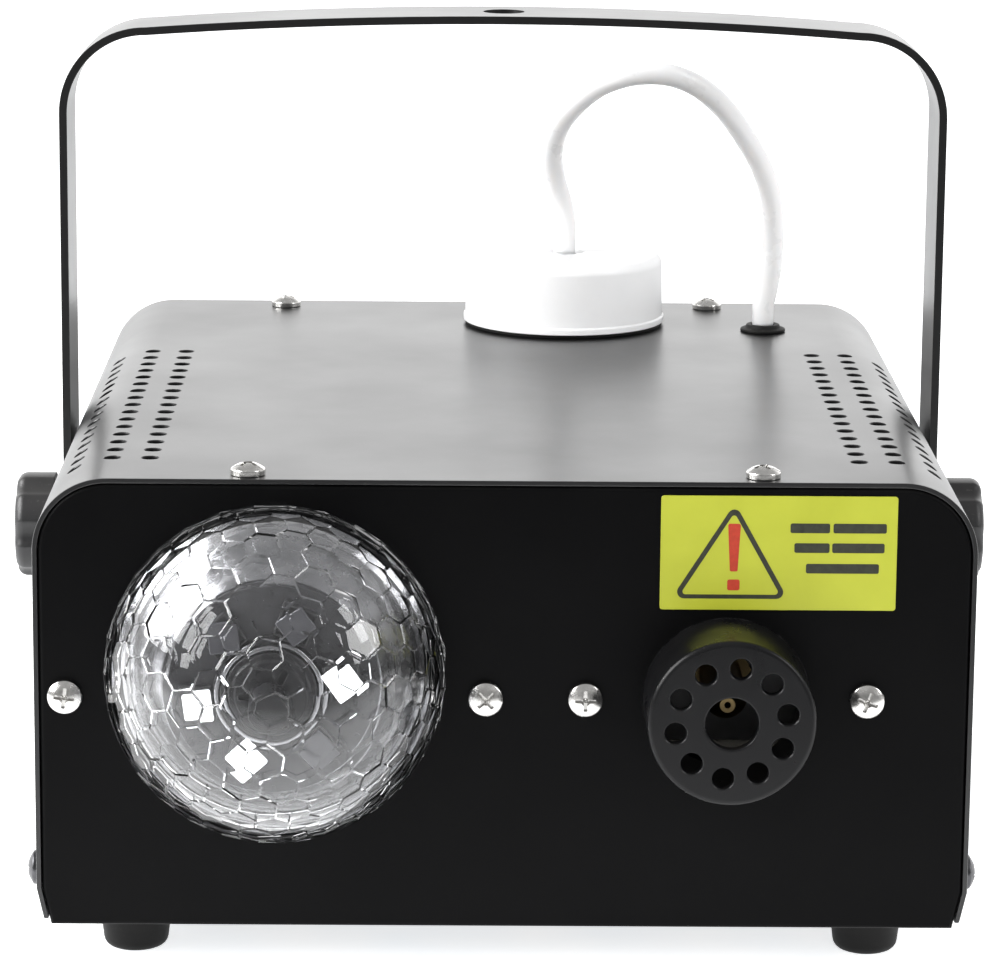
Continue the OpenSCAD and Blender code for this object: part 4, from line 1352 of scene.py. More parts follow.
    def pan_head(self, name: str, shank: float) -> Shape:
        """Pan-head screw with a cross recess, head above z = 0.

        Args:
            name: The piece's name.
            shank: Length of the shank below the head.

        Returns:
            The screw.
        """
        r, h, stem = self.head_radius, self.head_height, self.shank_radius
        crown = arc(2 * h, math.pi / 2, math.pi / 2 - self.crown_turn, 7, (0, -h))
        edge = filleted([(0, h), *crown[1:], (r, self.head_rim, 0.6), (r, 0.0, 0.25),
                         (stem, 0.0)], 4)
        head = Shape.lathe(name, [*edge, (stem, -shank), (0, -shank)], 40)
        slots = [Shape.prism("slot", rounded_rectangle(*self.cross, 0.15, steps=2), h - 1.5, h + 1)
                 .put(Matrix.Rotation(turn, 4, "Z")) for turn in (0.0, math.pi / 2)]
        pit = Shape.lathe("pit", [(0, h - 2.1), (0.5, h - 1.9), (1.25, h + 0.5), (0, h + 0.5)], 16)
        return head.cut(*slots, pit).ease(0.07, 1, 38)

    def screws(self) -> None:
        """Every group of screws, each a copy of one master."""
        x, y, z = self.shell.high.x, self.shell.low.y, self.shell.high.z
        top = [(Vector((px, py, z)), Facing.UP) for px in (-60, 60) for py in (-99.3, 131.7)]
        front = [(Vector((px, y, 67)), Facing.FRONT) for px in (-102.7, -4.3, 19, 85)]
        sides = [(Vector((s * x, py, 22)), Facing.RIGHT if s > 0 else Facing.LEFT)
                 for s in SIDES for py in (-94.5, 130.5)]
        for group, places, shank, finish, slot, seed in (
                ("top", top, 6.0, NICKEL, "bright_screw", 3),
                ("front", front, 5.5, NICKEL, "bright_screw", 8),
                ("side", sides, 6.0, DARK_SCREW, "dark_screw", 5)):
            screws = Shape.points(f"{group}_pan_screws", places)
            master = self.pan_head("screw_master", shank)
            screws.repeat("copies_on_points", master, finish, Seed=seed)
            screws.finish("housing", finish, [f"{group}_screws"], slot, sharp=30)

    def feet(self) -> None:
        """Rubber feet with a sunk screw seat."""
        span = Span.of("rubber_feet")
        height = span.high.z - span.low.z
        profile = filleted([(2, 5), (4.2, 5), (4.2, 0, 0.5), (7.5, 0, 2.5), (8.15, 5.2, 3),
                            (9, 9.4, 1.0), (9, height, 0.4), (2, height)], 5)
        places = [(Vector((x, y, 0)), Facing.UP) for x in (-88, 88) for y in (-85, 121)]
        feet = Shape.points("feet_rubber", places)
        feet.repeat("copies_on_points", Shape.lathe("foot_master", profile, 56, ring=True), RUBBER,
                    Seed=2)
        feet.finish("housing", RUBBER, ["rubber_feet"], "rubber_black")


# --- bail and knobs

@dataclass
class Bail:
    """Flat strap that carries the machine, with its hanging hole."""

    thickness: float = 2.0
    width: float = 25.0
    corner_radius: float = 22.0
    crown_radius: float = 1200.0
    rise: float = 134.5
    hole_radius: float = 5.25
    pivot_hole: float = 3.1
    edge: float = 0.55
    span: Span = field(default_factory=lambda: Span.of("bail_handle"))

    def build(self) -> None:
        """Sweeps the strap, rounds its ends, punches its holes and dresses it."""
        half = self.span.high.x - self.thickness / 2
        pivot_y, pivot_z = self.span.middle.y, self.span.high.z - self.rise
        flat = self.span.high.x - self.corner_radius
        radius = self.corner_radius - self.thickness / 2
        crown = self.crown_radius - self.thickness / 2

        def crown_height(x: float) -> float:
            """Height of the middle line over the pivots, on the crown."""
            return self.rise - self.crown_radius + math.sqrt(crown ** 2 - x ** 2)

        shoulder = crown_height(flat) - radius
        right = [(half, -self.width / 2), (half, shoulder * 0.5)]
        right += arc(radius, 0, math.pi / 2, 24, (flat, shoulder))
        right += [(flat * (1 - k / 12), crown_height(flat * (1 - k / 12))) for k in range(1, 12)]
        path = right + [(0, crown_height(0))] + [(-x, z) for x, z in reversed(right)]
        strap = Shape.ribbon("bail_strap", path, self.thickness, self.width)
        strap.put(Facing.FRONT.at(0, 0, 0))
        w = self.width / 2
        leg = arc(w, math.pi, math.tau, 32) + [(w, 200), (-w, 200)]
        strap.keep(Shape.prism("leg_outline", leg, -120, 120).put(Facing.RIGHT.at(0, 0, 0)))
        strap.cut(rod("pivot_holes", self.pivot_hole, -120, 120).put(Facing.RIGHT.at(0, 0, 0)),
                  rod("hanging_hole", self.hole_radius, 120, 140).put(Facing.UP.at(0, 0, 0)))
        strap.ease(self.edge, 3, 50).put(Matrix.Translation((0, pivot_y, pivot_z)))
        strap.finish("bail", BAIL_BLACK, ["bail_handle"], "bail_black")


@dataclass
class ClampKnob:
    """Moulded knob with six shallow finger grooves."""

    side: str
    body: str
    radius: float = 13.5
    height: float = 11.5
    groove_radius: float = 6.4
    groove_reach: float = 18.7
    softness: float = 0.5
    segments: int = 180

    def limit(self, angle: float) -> float:
        """Outer radius at an angle, with soft lips where a groove begins.

        Args:
            angle: Round the knob's axis, in radians.

        Returns:
            The radius in millimetres.
        """
        turn = (angle + math.pi / 6) % (math.pi / 3) - math.pi / 6
        across = self.groove_reach * math.sin(turn)
        if abs(across) >= self.groove_radius:
            return self.radius
        depth = math.sqrt(self.groove_radius ** 2 - across ** 2)
        groove = self.groove_reach * math.cos(turn) - depth
        blend = max(self.softness - abs(self.radius - groove), 0) / self.softness
        return min(self.radius, groove) - blend * blend * self.softness / 4

    def build(self) -> None:
        """Turns the knob's profile, pulls it in at the grooves and dresses it."""
        node = f"clamp_knob_{self.side}"
        span = Span.of(node)
        h = self.height
        profile = filleted([(0, h - 0.7), (5.6, h - 0.7, 0.8), (6.6, h, 0.8), (self.radius, h, 2.5),
                            (self.radius, 1.5, 0.3), (self.radius - 2, 1.5, 0.3),
                            (self.radius - 2, 0, 0.3), (3.2, 0), (3.2, h - 3), (0, h - 3)], 5)
        knob = Shape.lathe(f"knob_{self.side}", profile, self.segments)
        for vertex in knob.obj.data.vertices:
            reach = math.hypot(vertex.co.x, vertex.co.y)
            if reach > 7:
                pull = self.limit(math.atan2(vertex.co.y, vertex.co.x)) / self.radius
                vertex.co.x *= pull
                vertex.co.y *= pull
        inner = span.low.x if self.side == "right" else span.high.x
        facing = Facing.RIGHT if self.side == "right" else Facing.LEFT
        knob.put(facing.at(inner, span.middle.y, Span.of("bail_handle").high.z - Bail.rise))
        knob.finish(self.body, KNOB_BLACK, [node], "knob_black", sharp=50)


# --- crystal dome and lamp

@dataclass
class CrystalDome:
    """Clear dome with flat facets outside and a smooth hollow inside, and its hub."""

    frequency: int = 6
    touch_radius: float = 39.7
    inner_radius: float = 38.0
    tilt: tuple[float, float, float] = (0.32, 0.18, 0.4)
    rim_width: float = 0.38
    rim_height: float = 0.1
    facet_lean: float = 3.4
    seed: int = 11
    hub_radius: float = 4.5
    hub_gap: float = 0.25

    def ball(self) -> Shape:
        """Ball of even triangles: each face of an icosahedron divided by the frequency.

        Returns:
            The ball, of radius 1 and turned by the tilt.
        """
        golden = (1 + math.sqrt(5)) / 2
        corners = [Vector(c) for c in (
            (-1, golden, 0), (1, golden, 0), (-1, -golden, 0), (1, -golden, 0),
            (0, -1, golden), (0, 1, golden), (0, -1, -golden), (0, 1, -golden),
            (golden, 0, -1), (golden, 0, 1), (-golden, 0, -1), (-golden, 0, 1))]
        faces = ((0, 11, 5), (0, 5, 1), (0, 1, 7), (0, 7, 10), (0, 10, 11), (1, 5, 9), (5, 11, 4),
                 (11, 10, 2), (10, 7, 6), (7, 1, 8), (3, 9, 4), (3, 4, 2), (3, 2, 6), (3, 6, 8),
                 (3, 8, 9), (4, 9, 5), (2, 4, 11), (6, 2, 10), (8, 6, 7), (9, 8, 1))
        n = self.frequency
        solid = bmesh.new()
        for a, b, c in ([corners[i] for i in face] for face in faces):
            grid = {(i, j): solid.verts.new((a * (n - i - j) + b * i + c * j).normalized())
                    for i in range(n + 1) for j in range(n + 1 - i)}
            for i in range(n):
                for j in range(n - i):
                    solid.faces.new((grid[i, j], grid[i + 1, j], grid[i, j + 1]))
                    if i + j < n - 1:
                        solid.faces.new((grid[i + 1, j], grid[i + 1, j + 1], grid[i, j + 1]))
        x, y, z = self.tilt
        turn = Matrix.Rotation(x, 4, "X") @ Matrix.Rotation(y, 4, "Y") @ Matrix.Rotation(z, 4, "Z")
        return Shape("dome_crystal", solid).put(turn)

    def frame_facets(self, dome: Shape) -> None:
        """Sinks and slightly tilts every outer facet's middle, inside a fine raised rim.

        Args:
            dome: The faceted dome, before it is put in its place.
        """
        chance = random.Random(self.seed)
        solid = bmesh.new()
        solid.from_mesh(dome.obj.data)
        outer = [face for face in solid.faces
                 if face.calc_center_median().dot(face.normal) > self.touch_radius - 0.2]
        bmesh.ops.inset_individual(solid, faces=outer, thickness=self.rim_width,
                                   depth=-self.rim_height, use_even_offset=True)
        for face in outer:
            slope = math.tan(math.radians(chance.uniform(0, self.facet_lean)))
            lean = face.normal.orthogonal() * slope
            lean.rotate(Matrix.Rotation(chance.uniform(0, math.tau), 3, face.normal))
            middle, normal = face.calc_center_median(), face.normal.copy()
            for vertex in face.verts:
                vertex.co += normal * lean.dot(vertex.co - middle)
        solid.to_mesh(dome.obj.data)
        solid.free()

    def build(self) -> None:
        """Makes the dome and its hub."""
        span = Span.of("crystal_dome")
        place = Facing.FRONT.at(span.middle.x, span.high.y, span.middle.z)
        cavity = Shape.lathe("cavity", arc(self.inner_radius, math.pi / 2, -math.pi / 2, 80), 120)
        half = block("half", (100, 100, 50), (0, 0, 25))
        dome = self.ball().grow(Trees.named("crystal_facets"), Touch_Radius=self.touch_radius,
                                Cavity=cavity.obj, Half=half.obj, Material=CLEAR.material())
        cavity.drop()
        half.drop()
        self.frame_facets(dome)
        dome.put(place)
        dome.finish("dome", CLEAR, ["crystal_dome"], "clear_dome", sharp=7)
        inner = self.inner_radius - self.hub_gap
        seat = [(x, math.sqrt(inner ** 2 - x ** 2))
                for x in (self.hub_radius * k / 4 for k in range(5))]
        hub = Shape.lathe("dome_boss", filleted([
            (0, 10), (1.5, 10), (1.5, 25), (4.0, 25, 0.4), (self.hub_radius, 27, 0.6),
            *reversed(seat[1:]), seat[0]], 4), 48)
        hub.put(place).finish("dome", MOTOR_DARK, ["dome_hub"], "motor_dark")


@dataclass
class Lamp:
    """Silvered lamp base behind the dome, with its light board, windows and motor."""

    depth: float = 16.0
    cone_radius: float = 36.3
    board_radius: float = 24.5
    motor_radius: float = 10.5
    window_ring: float = 16.8
    lit: tuple[int, ...] = (0, 3, 4)
    count: int = 6
    first_angle: float = 10.0
    board_sheet: float = 1.6
    ridges: int = 9
    chip_ring: float = 22.6
    place: Matrix = field(default_factory=Matrix)

    def build(self) -> None:
        """Makes the lamp from the back to the front."""
        dome = Span.of("crystal_dome")
        self.place = Facing.FRONT.at(dome.middle.x, dome.high.y + 1, dome.middle.z)
        self.reflector()
        self.board()
        self.windows()
        self.motor()

    def reflector(self) -> None:
        """Stepped, silvered cone that closes the panel's hole."""
        steps = [(34.0 - 9 * k / self.ridges, 2.5 + 13.5 * k / self.ridges)
                 for k in range(self.ridges + 1)]
        ridged = []
        for (r1, z1), (r2, z2) in zip(steps, steps[1:]):
            ridged += [(r1, z1), (r2 + 0.35, z2 - 0.55), (r2 + 0.1, z2 - 0.1)]
        hole = self.motor_radius + 0.3
        profile = [(self.cone_radius - 8, -1.2), (self.cone_radius, -1.2), (self.cone_radius, 0.8),
                   *ridged, (25, self.depth), (hole, self.depth), (hole, self.depth - 2),
                   (23.6, self.depth - 2), (31, 1.2), (self.cone_radius - 8, 1.2)]
        cone = Shape.lathe("lamp_reflector", profile, 120, ring=True)
        cone.put(self.place).finish("housing", LAMP_SILVER, ["lamp_base"], "lamp_silver")

    def board(self) -> None:
        """Ring-shaped light board with a ring of small chips soldered on it."""
        low, high = self.depth, self.depth + self.board_sheet
        hole = self.motor_radius + 0.3
        r = self.board_radius
        board = Shape.lathe("light_board", filleted([(hole, low), (r, low, 0.2), (r, high, 0.3),
                                                     (hole, high)], 3), 96, ring=True)
        chip = block("chip", (1.6, 0.9, 0.55), (0, 0, 0.275)).ease(0.08, 1)
        board.repeat("ring_of_copies", chip, BOARD_GREY, Count=18, Radius=self.chip_ring, Start=0.2,
                     Height=high)
        board.put(self.place).finish("housing", BOARD_GREY, ["led_board"], "board_white")

    def windows(self) -> None:
        """Square light windows in dark frames; three of the six are lit."""
        low = self.depth + self.board_sheet
        frame_ring = Shape.points("light_frames", [])
        holder = Shape.prism("holder", rounded_rectangle(8.6, 8.6, 0.8), 0, 3.4).cut(
            Shape.prism("well", rounded_rectangle(7.4, 7.4, 0.6), 2.2, 4)).ease(0.15, 1)
        frame_ring.repeat("ring_of_copies", holder, MOTOR_DARK, Count=self.count,
                          Radius=self.window_ring, Start=math.radians(self.first_angle), Height=low)
        frame_ring.put(self.place).finish("housing", MOTOR_DARK, [], "motor_dark")
        for name, lit, finish in (("light_windows_lit", True, LIT_WINDOW),
                                  ("light_windows_dark", False, LENS)):
            first = math.radians(self.first_angle)
            ring = arc(self.window_ring, first, first + math.tau, self.count)[:-1]
            places = [(Vector((x, y, low + 2.3)), Facing.UP) for k, (x, y) in enumerate(ring)
                      if (k in self.lit) is lit]
            pane = Shape.prism("pane", rounded_rectangle(7.2, 7.2, 0.6), 0, 2.4).ease(0.5, 3)
            panes = Shape.points(name, places)
            panes.repeat("copies_on_points", pane, finish, Seed=4, Twist=0.9).put(self.place)
            panes.finish("housing", finish, ["led_lenses"] if lit else [], "lens_clear")

    def motor(self) -> None:
        """Motor can with a slotted cap, and the bright ring round it."""
        r = self.motor_radius
        top = self.depth + 8
        can = Shape.lathe("dome_motor_can", filleted([
            (0, -24), (14, -24, 1.5), (14, -8, 1.0), (r, -8), (r, top - 1.0, 0.6),
            (r - 1.6, top - 1, 0.3), (r - 2.2, top, 0.5), (1.7, top), (1.7, 11), (0, 11)], 4), 72)
        slot = Shape.prism("slot", rounded_rectangle(4.6, 1.9, 0.8), top - 1.4, top + 1)
        can.repeat("ring_of_holes", slot, MOTOR_DARK, Count=3, Radius=5.4, Start=1.1)
        can.put(self.place).finish("housing", MOTOR_DARK, ["dome_motor"], "motor_dark")
        low = self.depth + self.board_sheet
        high = low + 4.4
        ring = Shape.lathe("motor_trim_ring", filleted([
            (r + 0.1, low), (r + 2.0, low, 0.3), (r + 1.7, high, 0.7), (r + 0.1, high, 0.6)], 4),
            96, ring=True)
        ring.put(self.place).finish("housing", LAMP_SILVER, [], "lamp_silver")


# --- outlet

@dataclass
class FogOutlet:
    """Shroud round the fog jet, with one middle hole and a ring of air holes."""

    radius: float = 19.5
    wall: float = 2.5
    reach: float = 22.0
    lip: float = 1.3
    middle_hole: float = 6.1
    ring_hole: float = 2.5
    ring_radius: float = 13.1
    ring_count: int = 10
    ring_start: float = 82.0
    flange: Point2 = (-4.2, -1.2)
    flare: float = 0.3
    ear_reach: float = 33.0

    def build(self) -> None:
        """Turns the shroud, adds its fixing flange behind the panel and cuts its holes."""
        span = Span.of("nozzle_shroud")
        flange_low, flange_high = self.flange
        inner = self.radius - self.wall
        face = self.reach - self.wall
        shroud = Shape.lathe("outlet_shroud", filleted([
            (self.radius + 2, flange_low), (self.radius + 2, flange_high),
            (self.radius, flange_high), (self.radius, self.reach, self.lip),
            (self.middle_hole, self.reach, 0.5),
            (self.middle_hole, face), (inner, face), (inner, flange_low)], 5), 128, ring=True)
        r, flare = self.ring_hole, self.flare
        punch = Shape.lathe("air_punch", [(0, face - 1), (r, face - 1), (r, self.reach - flare),
                                          (r + flare * 0.4, self.reach - flare * 0.4),
                                          (r + flare, self.reach), (r + flare, self.reach + 1),
                                          (0, self.reach + 1)], 32)
        shroud.repeat("ring_of_holes", punch, SHROUD_BLACK, Count=self.ring_count,
                      Radius=self.ring_radius, Start=math.radians(self.ring_start))
        ears = Shape.prism("outlet_ears", stadium(self.ear_reach, 6.5), flange_low, flange_high)
        ears.cut(rod("ears_hole", inner, -8, 4, 96), *(
            rod("ear_screw_hole", 2.0, -8, 4).put(Matrix.Translation((s * self.ear_reach, 0, 0)))
            for s in SIDES))
        place = Facing.FRONT.at(span.middle.x, Span.of("top_cover").low.y, span.middle.z)
        shroud.put(place).finish("housing", SHROUD_BLACK, ["nozzle_shroud"], "shroud_black")
        ears.ease(0.3, 2).put(place).finish("housing", SHROUD_BLACK, [], "shroud_black")


# --- sticker

@dataclass
class Sticker:
    """Yellow heat sticker: a plain triangle with a bar and a dot, and bars instead of words."""

    width: float = 55.0
    height: float = 27.2
    sheet: float = 0.25
    ink: float = 0.03
    triangle: tuple[Point2, Point2, Point2] = ((-24.8, -10.9), (2.4, -10.9), (-10.4, 11.9))
    stroke: float = 1.15
    words: tuple[tuple[float, float, float], ...] = (
        (2.6, 9.2, 6.0), (12.6, 12.4, 6.0), (3.6, 8.2, 1.3), (12.4, 12.2, 1.3), (6.4, 17.0, -3.6))

    def build(self) -> None:
        """Makes the sheet and its printing, on the front panel."""
        span = Span.of("warning_label")
        place = Facing.FRONT.at(span.middle.x, span.high.y, span.middle.z)
        outline = rounded_rectangle(self.width, self.height, 0.7)
        base = Shape.prism("heat_sticker", outline, 0, self.sheet).ease(0.06, 1).put(place)
        base.finish("housing", STICKER_YELLOW, ["warning_label"], "label_yellow")
        low, high = self.sheet - 0.02, self.sheet + self.ink
        outer = [(x, y, 1.6) for x, y in self.triangle]
        mx, my = (sum(c[k] for c in self.triangle) / 3 for k in (0, 1))
        shrink = 1 - 3 * self.stroke / 24
        inner = [(mx + (x - mx) * shrink, my + (y - my) * shrink - 0.1, 0.7)
                 for x, y in self.triangle]
        black = Shape.prism("sticker_print_black", filleted(outer), low, high).cut(
            Shape.prism("inside", filleted(inner), low - 1, high + 1))
        bars = [Shape.prism("word", rounded_rectangle(w, 2.3, 0.45, (x + w / 2, y)), low, high)
                for x, w, y in self.words]
        black.beside(*bars).put(place).finish("housing", INK_BLACK, [], "label_yellow")
        x = self.triangle[2][0]
        bar = Shape.prism("sticker_print_red", filleted([
            (x - 1.5, 7.0, 0.5), (x + 1.5, 7.0, 0.5), (x + 0.9, -4.4, 0.4), (x - 0.9, -4.4, 0.4)]),
            low, high)
        dot = Shape.prism("dot", rounded_rectangle(2.9, 2.6, 0.5, (x, -7.6)), low, high)
        bar.beside(dot).put(place).finish("housing", INK_RED, [], "label_yellow")


# --- cap and hose

@dataclass
class FillerCap:
    """White filler cap on its dark gasket."""

    edge: float = 3.0
    skirt: float = 1.6

    def build(self) -> None:
        """Makes the cap and the gasket."""
        span = Span.of("fluid_cap")
        r = (span.high.x - span.low.x) / 2
        h = span.high.z - span.low.z
        place = Facing.UP.at(span.middle.x, span.middle.y, span.low.z)
        profile = filleted([(23.5, 0), (r, 0, 0.3), (r - 0.05, self.skirt, 0.35),
                            (r - 0.45, self.skirt + 0.35, 0.3), (r - 0.8, h, self.edge),
                            (5.4, h, 0.6), (4.8, h - 0.7, 0.5), (3.5, h - 0.7, 0.2),
                            (3.5, h - 4.3), (23.5, h - 4.3, 0.6)], 6)
        cap = Shape.lathe("filler_cap", profile, 128, ring=True)
        cap.put(place).finish("cap", CAP_WHITE, ["fluid_cap"], "cap_white")
        seal = Span.of("neck_gasket")
        outer = (seal.high.x - seal.low.x) / 2
        hole = Cabinet.neck_hole
        gasket = Shape.lathe("neck_seal", filleted([(hole, 0), (outer, 0, 0.3), (outer, 1, 0.3),
                                                    (hole, 1)], 3), 96, ring=True)
        gasket.put(Facing.UP.at(seal.middle.x, seal.middle.y, seal.low.z))
        gasket.finish("housing", RUBBER, ["neck_gasket"], "rubber_black")


@dataclass
class SuctionHose:
    """Milky hose from the cap over to the grommet."""

    diameter: float = 6.0
    route: tuple[tuple[float, float, float], ...] = (
        (18.5, 108, 139), (18.5, 108, 147), (17.5, 107, 153), (15.5, 103, 160), (14.5, 97, 168),
        (16, 90, 176), (20, 82, 183), (26, 75, 189), (33, 70, 192.5), (40, 69, 193.5),
        (47, 70, 192.5), (54, 73, 189), (61, 77, 182.5), (67, 82, 174), (71.5, 86, 166),
        (74.5, 90, 157), (75.5, 93, 148), (75.5, 95, 139), (74.5, 96, 131), (73.5, 96, 126),
        (73.5, 96, 121))

    def smooth(self, steps: int = 4) -> list[Vector]:
        """Draws a smooth curve through the route.

        Args:
            steps: Points for each stretch of the route.

        Returns:
            The curve's points, in metres.
        """
        points = [Vector(p) * MM for p in self.route]
        ends = [points[0], *points, points[-1]]
        curve = []
        for a, b, c, d in zip(ends, ends[1:], ends[2:], ends[3:]):
            for t in (s / steps for s in range(steps)):
                curve.append(0.5 * (2 * b + (c - a) * t + (2 * a - 5 * b + 4 * c - d) * t * t
                                    + (3 * b - a - 3 * c + d) * t ** 3))
        return [*curve, points[-1]]

    def build(self) -> None:
        """Makes the hose and its grommet."""
        points = self.smooth()
        curve = bpy.data.curves.new("suction_hose", "CURVE")
        curve.dimensions = "3D"
        curve.bevel_depth = self.diameter / 2 * MM
        curve.bevel_resolution = 6
        curve.use_fill_caps = True
        spline = curve.splines.new("POLY")
        spline.points.add(len(points) - 1)
        for point, place in zip(spline.points, points):
            point.co = (*place, 1)
        spline.use_smooth = True
        hose = bpy.data.objects.new("suction_hose", curve)
        bpy.context.scene.collection.objects.link(hose)
        curve.materials.append(HOSE_MILKY.material())
        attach(hose, "housing")
        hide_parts("fluid_hose")
        length = sum((b - a).length for a, b in zip(points, points[1:]))
        tuple(points[0])
        LOG.info("suction_hose: %.1f mm long", length / MM)
        span = Span.of("hose_grommet")
        collar = Shape.lathe("hose_collar", filleted([
            (3.2, -2.7), (5.6, -2.7, 0.4), (5.6, -1.2, 0.3), (4.6, -1.2), (4.6, 0), (6.2, 0, 0.2),
            (6.2, 0.8, 0.35), (4.9, 1.2, 0.6), (4.5, 2.0, 0.4), (3.2, 2.0, 0.2)], 4), 64, ring=True)
        collar.put(Facing.UP.at(span.middle.x, span.middle.y, Span.of("top_cover").high.z))
        collar.finish("housing", RUBBER, ["hose_grommet"], "rubber_black")


# --- rear fittings

@dataclass
class RearFittings:
    """Power inlet with its fuse drawer, power rocker and manual fog button."""

    flange: float = 2.5
    socket: tuple[float, float, float] = (24.2, 16.2, 5.5)
    cut_corner: float = 4.5
    socket_depth: float = 17.0
    blades: tuple[Point2, ...] = ((-7, -2), (7, -2), (0, 2))
    drawer_drop: float = -9.8
    rocker_depth: float = -3.0
    tilt: float = -9.0
    face_slope: float = 9.87
    mark_reach: float = 4.2

    def build(self) -> None:
        """Makes every fitting on the rear panel."""
        self.inlet()
        self.switch()
        self.button()

    def at(self, node: str) -> Matrix:
        """Place of a fitting on the panel's outer face, with +Z pointing away from it."""
        middle = Span.of(node).middle
        return Facing.REAR.at(middle.x, Span.of("rear_panel").high.y, middle.z)

    def inlet(self) -> None:
        """Inlet housing, its three blades and the fuse drawer below."""
        w, h, up = self.socket
        cut, floor, drop = self.cut_corner, self.flange - self.socket_depth, self.drawer_drop
        right = [(w / 2, up - h / 2), (w / 2, up + h / 2 - cut), (w / 2 - cut, up + h / 2)]
        hole = right + [(-x, y) for x, y in reversed(right)]
        body = Shape.prism("inlet_body", rounded_rectangle(49, 34, 6.5, steps=10), 0, self.flange)
        body.ease_end(self.flange, 0.7, 3)
        body.fuse(block("inlet_can", (27.4, 31.4, 22.2), (0, 0, -10.9)))
        body.cut(Shape.prism("socket", hole, floor, 4),
                 block("drawer_hole", (20.4, 7.6, 22), (0, drop, -7)))
        place = self.at("power_inlet")
        body.ease(0.25, 2, 60).put(place)
        body.finish("housing", FITTING_BLACK, ["power_inlet"], "inlet_black")
        pins = [Shape.prism("inlet_blades", rounded_rectangle(2, 4, 0.4, (-x, up + z)), floor, 0.5)
                .ease_end(0.5, 0.35, 2) for x, z in self.blades]
        pins[0].beside(*pins[1:]).put(place)
        pins[0].finish("housing", PIN_NICKEL, ["inlet_pins"], "pin_nickel")
        drawer = block("fuse_tray", (20, 7.2, 20.3), (0, drop, -7.35)).fuse(
            Shape.prism("front", rounded_rectangle(20, 7.2, 0.8, (0, drop)), 2.8, 4.3).fuse(
                block("neck", (12, 6, 1.2), (0, drop, 2.5))))
        drawer.cut(block("fuse_room", (17, 6, 6.5), (0, drop + 2, -4.75)),
                   Shape.prism("notch", rounded_rectangle(9, 1.6, 0.5, (0, drop + 2)), 3.5, 5))
        drawer.ease(0.15, 1, 60).put(place)
        drawer.finish("drawer", FITTING_BLACK, ["fuse_drawer"], "inlet_black")

    def switch(self) -> None:
        """Rocker in its frame, with plain on and off marks."""
        place = self.at("rocker_frame")
        bezel = Shape.prism("switch_frame", rounded_rectangle(21, 15, 1.2), 0, 2)
        bezel.ease_end(2, 0.6, 3)
        bezel.fuse(block("can", (18.2, 12.2, 14.2), (0, 0, -6.9)))
        bezel.cut(block("well", (15.6, 9.6, 14), (0, 0, -4)),
                  rod("pin_holes", 1.25, -5.6, 5.6, 24)
                  .put(Facing.FRONT.at(0, 0, self.rocker_depth)))
        bezel.ease(0.15, 1, 60).put(place)
        bezel.finish("housing", FITTING_BLACK, ["rocker_frame"], "inlet_black")
        tilted = (place @ Matrix.Translation((0, 0, self.rocker_depth))
                  @ Matrix.Rotation(math.radians(self.tilt), 4, "Y"))
        outline = filleted([(-7, 4, 0.4), (-6.9, 6.4, 0.7), (0, 5.2, 14), (6.9, 6.4, 0.7),
                            (7, 4, 0.4), (4.5, -2, 0.8), (-4.5, -2, 0.8)], 8)
        rocker = Shape.prism("rocker_cap", outline, -4.6, 4.6).ease(0.35, 2, 50)
        rocker.fuse(rod("pins", 1.2, -5.4, 5.4, 24))
        rocker.put(tilted @ Matrix.Rotation(math.pi / 2, 4, "X"))
        rocker.finish("rocker", SWITCH_RED, ["power_rocker"], "switch_red")
        low, high = -0.2, 0.04
        off = Shape.prism("ring", arc(1.5, 0, math.tau, 32)[:-1], low, high).cut(
            rod("ring_hole", 0.9, -1, 1, 24))
        marks = Shape.prism("rocker_marks", rounded_rectangle(0.7, 3.0, 0.3), low, high)
        for side, mark in ((-1, marks), (1, off)):
            slope = Matrix.Rotation(math.radians(-side * self.face_slope), 4, "Y")
            mark.put(Matrix.Translation((side * self.mark_reach, 0, 5.93)) @ slope)
        marks.beside(off).put(tilted)
        marks.finish("rocker", INK_WHITE, [], "switch_red")

    def button(self) -> None:
        """Bright bezel and a slightly domed red button."""
        place = self.at("button_bezel")
        bezel = Shape.lathe("button_collar", filleted([
            (4.8, -13), (4.8, 1.5, 0.3), (6.4, 1.7, 0.2), (7.2, 1.3, 0.4), (8, 0.7, 0.4),
            (8, 0, 0.1), (6, 0), (6, -16), (0, -16), (0, -13)], 4), 72)
        bezel.put(place).finish("housing", PIN_NICKEL, ["button_bezel"], "pin_nickel")
        crown = [(4.6 * math.sin(a), 4.35 + 0.65 * math.cos(a)) for a in
                 (math.pi / 2 * (6 - k) / 6 for k in range(7))]
        cap = Shape.lathe("fog_push_button", [(0, -6), (4.6, -6), *crown], 56)
        cap.put(place).finish("button", SWITCH_RED, ["fog_button"], "switch_red")


# --- hidden parts

